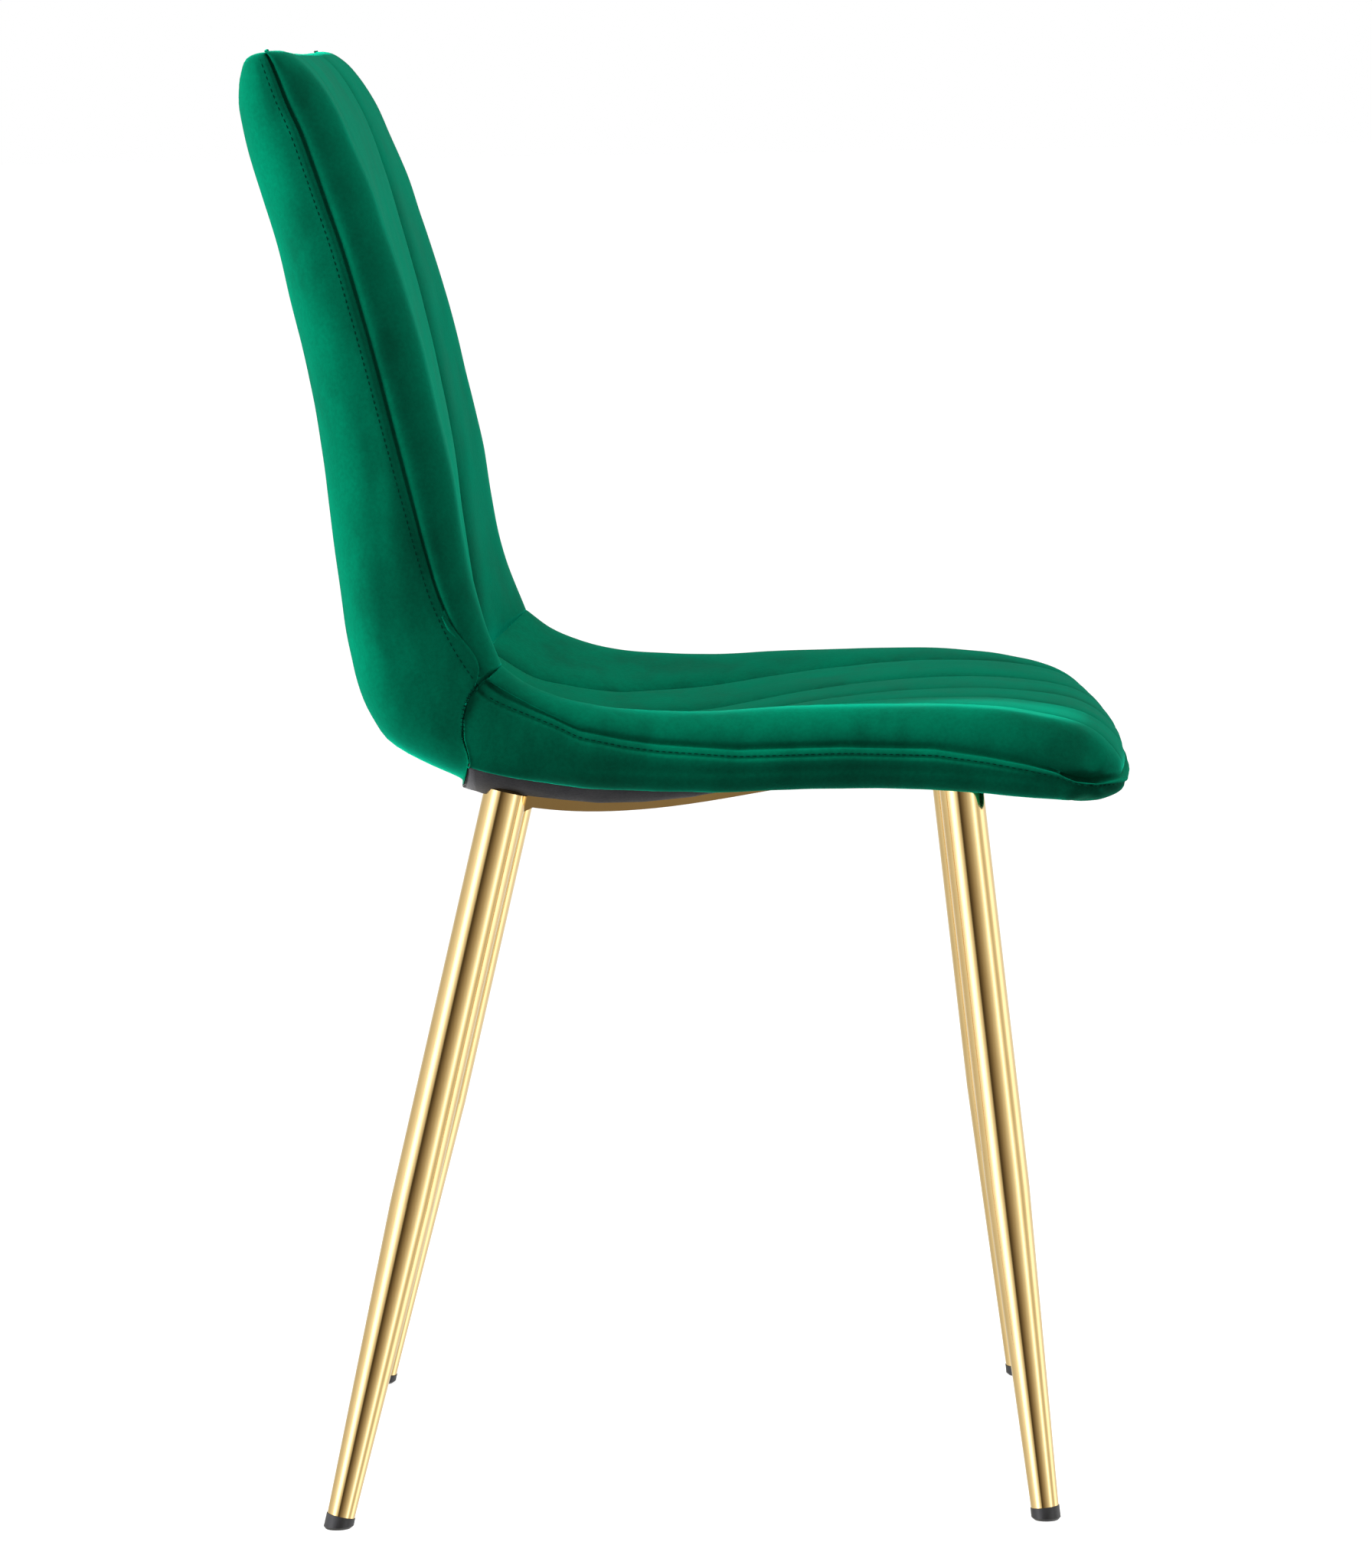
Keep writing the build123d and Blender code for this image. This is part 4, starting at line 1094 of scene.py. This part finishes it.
def build_floor():
    """Paper so bright that it is plain white from above, and that is not seen from below."""
    white = bpy.data.materials.new("white_floor")
    white.use_nodes = True
    tree = white.node_tree
    join = tree.links.new
    tree.nodes.clear()
    glow = make(tree, "Emission", Strength=0.80)
    paper = make(tree, "BsdfDiffuse", Color=(0.3, 0.3, 0.3, 1))
    both = make(tree, "AddShader")
    join(glow.outputs[0], both.inputs[0])
    join(paper.outputs[0], both.inputs[1])
    one_sided = make(tree, "MixShader")
    join(make(tree, "NewGeometry").outputs["Backfacing"], one_sided.inputs[0])
    join(both.outputs[0], one_sided.inputs[1])
    join(make(tree, "BsdfTransparent").outputs[0], one_sided.inputs[2])
    join(one_sided.outputs[0], make(tree, "OutputMaterial").inputs["Surface"])
    mesh = bpy.data.meshes.new("floor")
    corners = [(-FLOOR, -FLOOR, 0), (FLOOR, -FLOOR, 0), (FLOOR, FLOOR, 0), (-FLOOR, FLOOR, 0)]
    mesh.from_pydata(corners, [], [(0, 1, 2, 3)])
    mesh.materials.append(white)
    floor = put("floor", mesh)
    floor.visible_diffuse = False
    floor.visible_glossy = False
    return floor


def area_light(name, place, size, power, aim=(0, 0, 0.5)):
    """A soft lamp, in metres and watts, that no polished surface mirrors."""
    data = bpy.data.lights.new(name, "AREA")
    data.shape = "RECTANGLE"
    data.size, data.size_y = size
    data.energy = power
    light = put(name, data)
    light.location = place
    light.rotation_euler = (Vector(aim) - Vector(place)).to_track_quat("-Z", "Y").to_euler()
    light.visible_glossy = False
    light.visible_camera = False


def floor_sun(floor):
    """A low sun from the front that lights the floor only."""
    data = bpy.data.lights.new("sun", "SUN")
    data.energy = 4.2
    data.angle = 0.25
    sun = put("sun", data)
    sun.rotation_euler = Vector((0.95, -0.12, 0.42)).to_track_quat("Z", "Y").to_euler()
    lit = bpy.data.collections.new("sunlit")
    lit.objects.link(floor)
    sun.light_linking.receiver_collection = lit


def room_lights(tree):
    """The room's stripes round the chair, for reflections: warm where dark, white where bright."""
    join = tree.links.new
    split = make(tree, "SeparateXYZ")
    join(make(tree, "TexCoord").outputs["Generated"], split.inputs[0])
    flip = make(tree, "Math")
    flip.operation = "MULTIPLY"
    flip.inputs[1].default_value = -1.0
    join(split.outputs["Y"], flip.inputs[0])
    turn = make(tree, "Math")
    turn.operation = "ARCTAN2"
    join(split.outputs["X"], turn.inputs[0])
    join(flip.outputs[0], turn.inputs[1])
    to_share = make(tree, "Math")
    to_share.operation = "MULTIPLY_ADD"
    to_share.inputs[1].default_value = 1 / (2 * math.pi)
    to_share.inputs[2].default_value = 0.5
    join(turn.outputs[0], to_share.inputs[0])
    ramp = make(tree, "ValToRGB")
    spots = ramp.color_ramp.elements
    for i, (angle, light) in enumerate(ROOM):
        share = angle / 360 + 0.5
        spot = spots[i] if i < 2 else spots.new(share)
        spot.position = share
        green, blue = light * min(1, 0.75 + 0.35 * light), light * min(1, 0.45 + 0.6 * light)
        spot.color = (light / BRIGHTEST, green / BRIGHTEST, blue / BRIGHTEST, 1)
    join(to_share.outputs[0], ramp.inputs["Fac"])
    shiny = make(tree, "Background", Strength=1.15 * BRIGHTEST)
    join(ramp.outputs["Color"], shiny.inputs["Color"])
    return shiny


def even_light(tree, strength):
    """The same white from every side."""
    return make(tree, "Background", Color=(1, 1, 1, 1), Strength=strength)


def build_world():
    """White behind the chair, soft light on it, and the striped room in its polished parts."""
    world = bpy.data.worlds.new("studio")
    bpy.context.scene.world = world
    world.use_nodes = True
    tree = world.node_tree
    join = tree.links.new
    tree.nodes.clear()
    paths = make(tree, "LightPath")
    pick = make(tree, "MixShader")
    join(paths.outputs["Is Glossy Ray"], pick.inputs[0])
    join(even_light(tree, 0.27).outputs[0], pick.inputs[1])
    join(room_lights(tree).outputs[0], pick.inputs[2])
    last = make(tree, "MixShader")
    join(paths.outputs["Is Camera Ray"], last.inputs[0])
    join(pick.outputs[0], last.inputs[1])
    join(even_light(tree, 1.0).outputs[0], last.inputs[2])
    join(last.outputs[0], make(tree, "OutputWorld").inputs["Surface"])


FLOOR = 60.0  # metres from the middle to a side
# Brightness round the room by angle in degrees: 0 is at the sitter's right hand, 90 in front of the chair.
ROOM = [(-180, 0.8), (-145, 0.65), (-128, 0.62), (-99, 0.8), (-76, 1.15), (-60, 3.2), (-50, 2.6), (-40, 1.1),
        (-28, 0.6), (-22, 0.06), (-14, 0.1), (0, 0.24), (18, 0.46), (35, 0.78), (46, 1.3), (54, 2.6),
        (62, 1.2), (74, 0.62), (88, 0.8), (100, 1.7), (112, 1.6), (128, 0.9), (152, 0.8), (180, 0.8)]
BRIGHTEST = 3.2  # of the room's stripes

floor_sun(build_floor())
area_light("left", (-3.3, -0.75, 1.3), (1.2, 2.2), 330)
area_light("top", (1.0, -0.5, 3.0), (1.8, 1.8), 95, (0.15, 0, 0.45))
build_world()

camera_data = bpy.data.cameras.new("camera")
camera_data.sensor_width = 36.0
camera_data.lens = 151.42
camera_data.clip_end = 200
camera = put("camera", camera_data)
camera.location = (0.0583, -4.153, 0.8815)
camera.rotation_euler = [math.radians(angle) for angle in (83.759, 0.912, 0.8)]
bpy.context.scene.camera = camera
bpy.context.scene.view_settings.view_transform = "Standard"
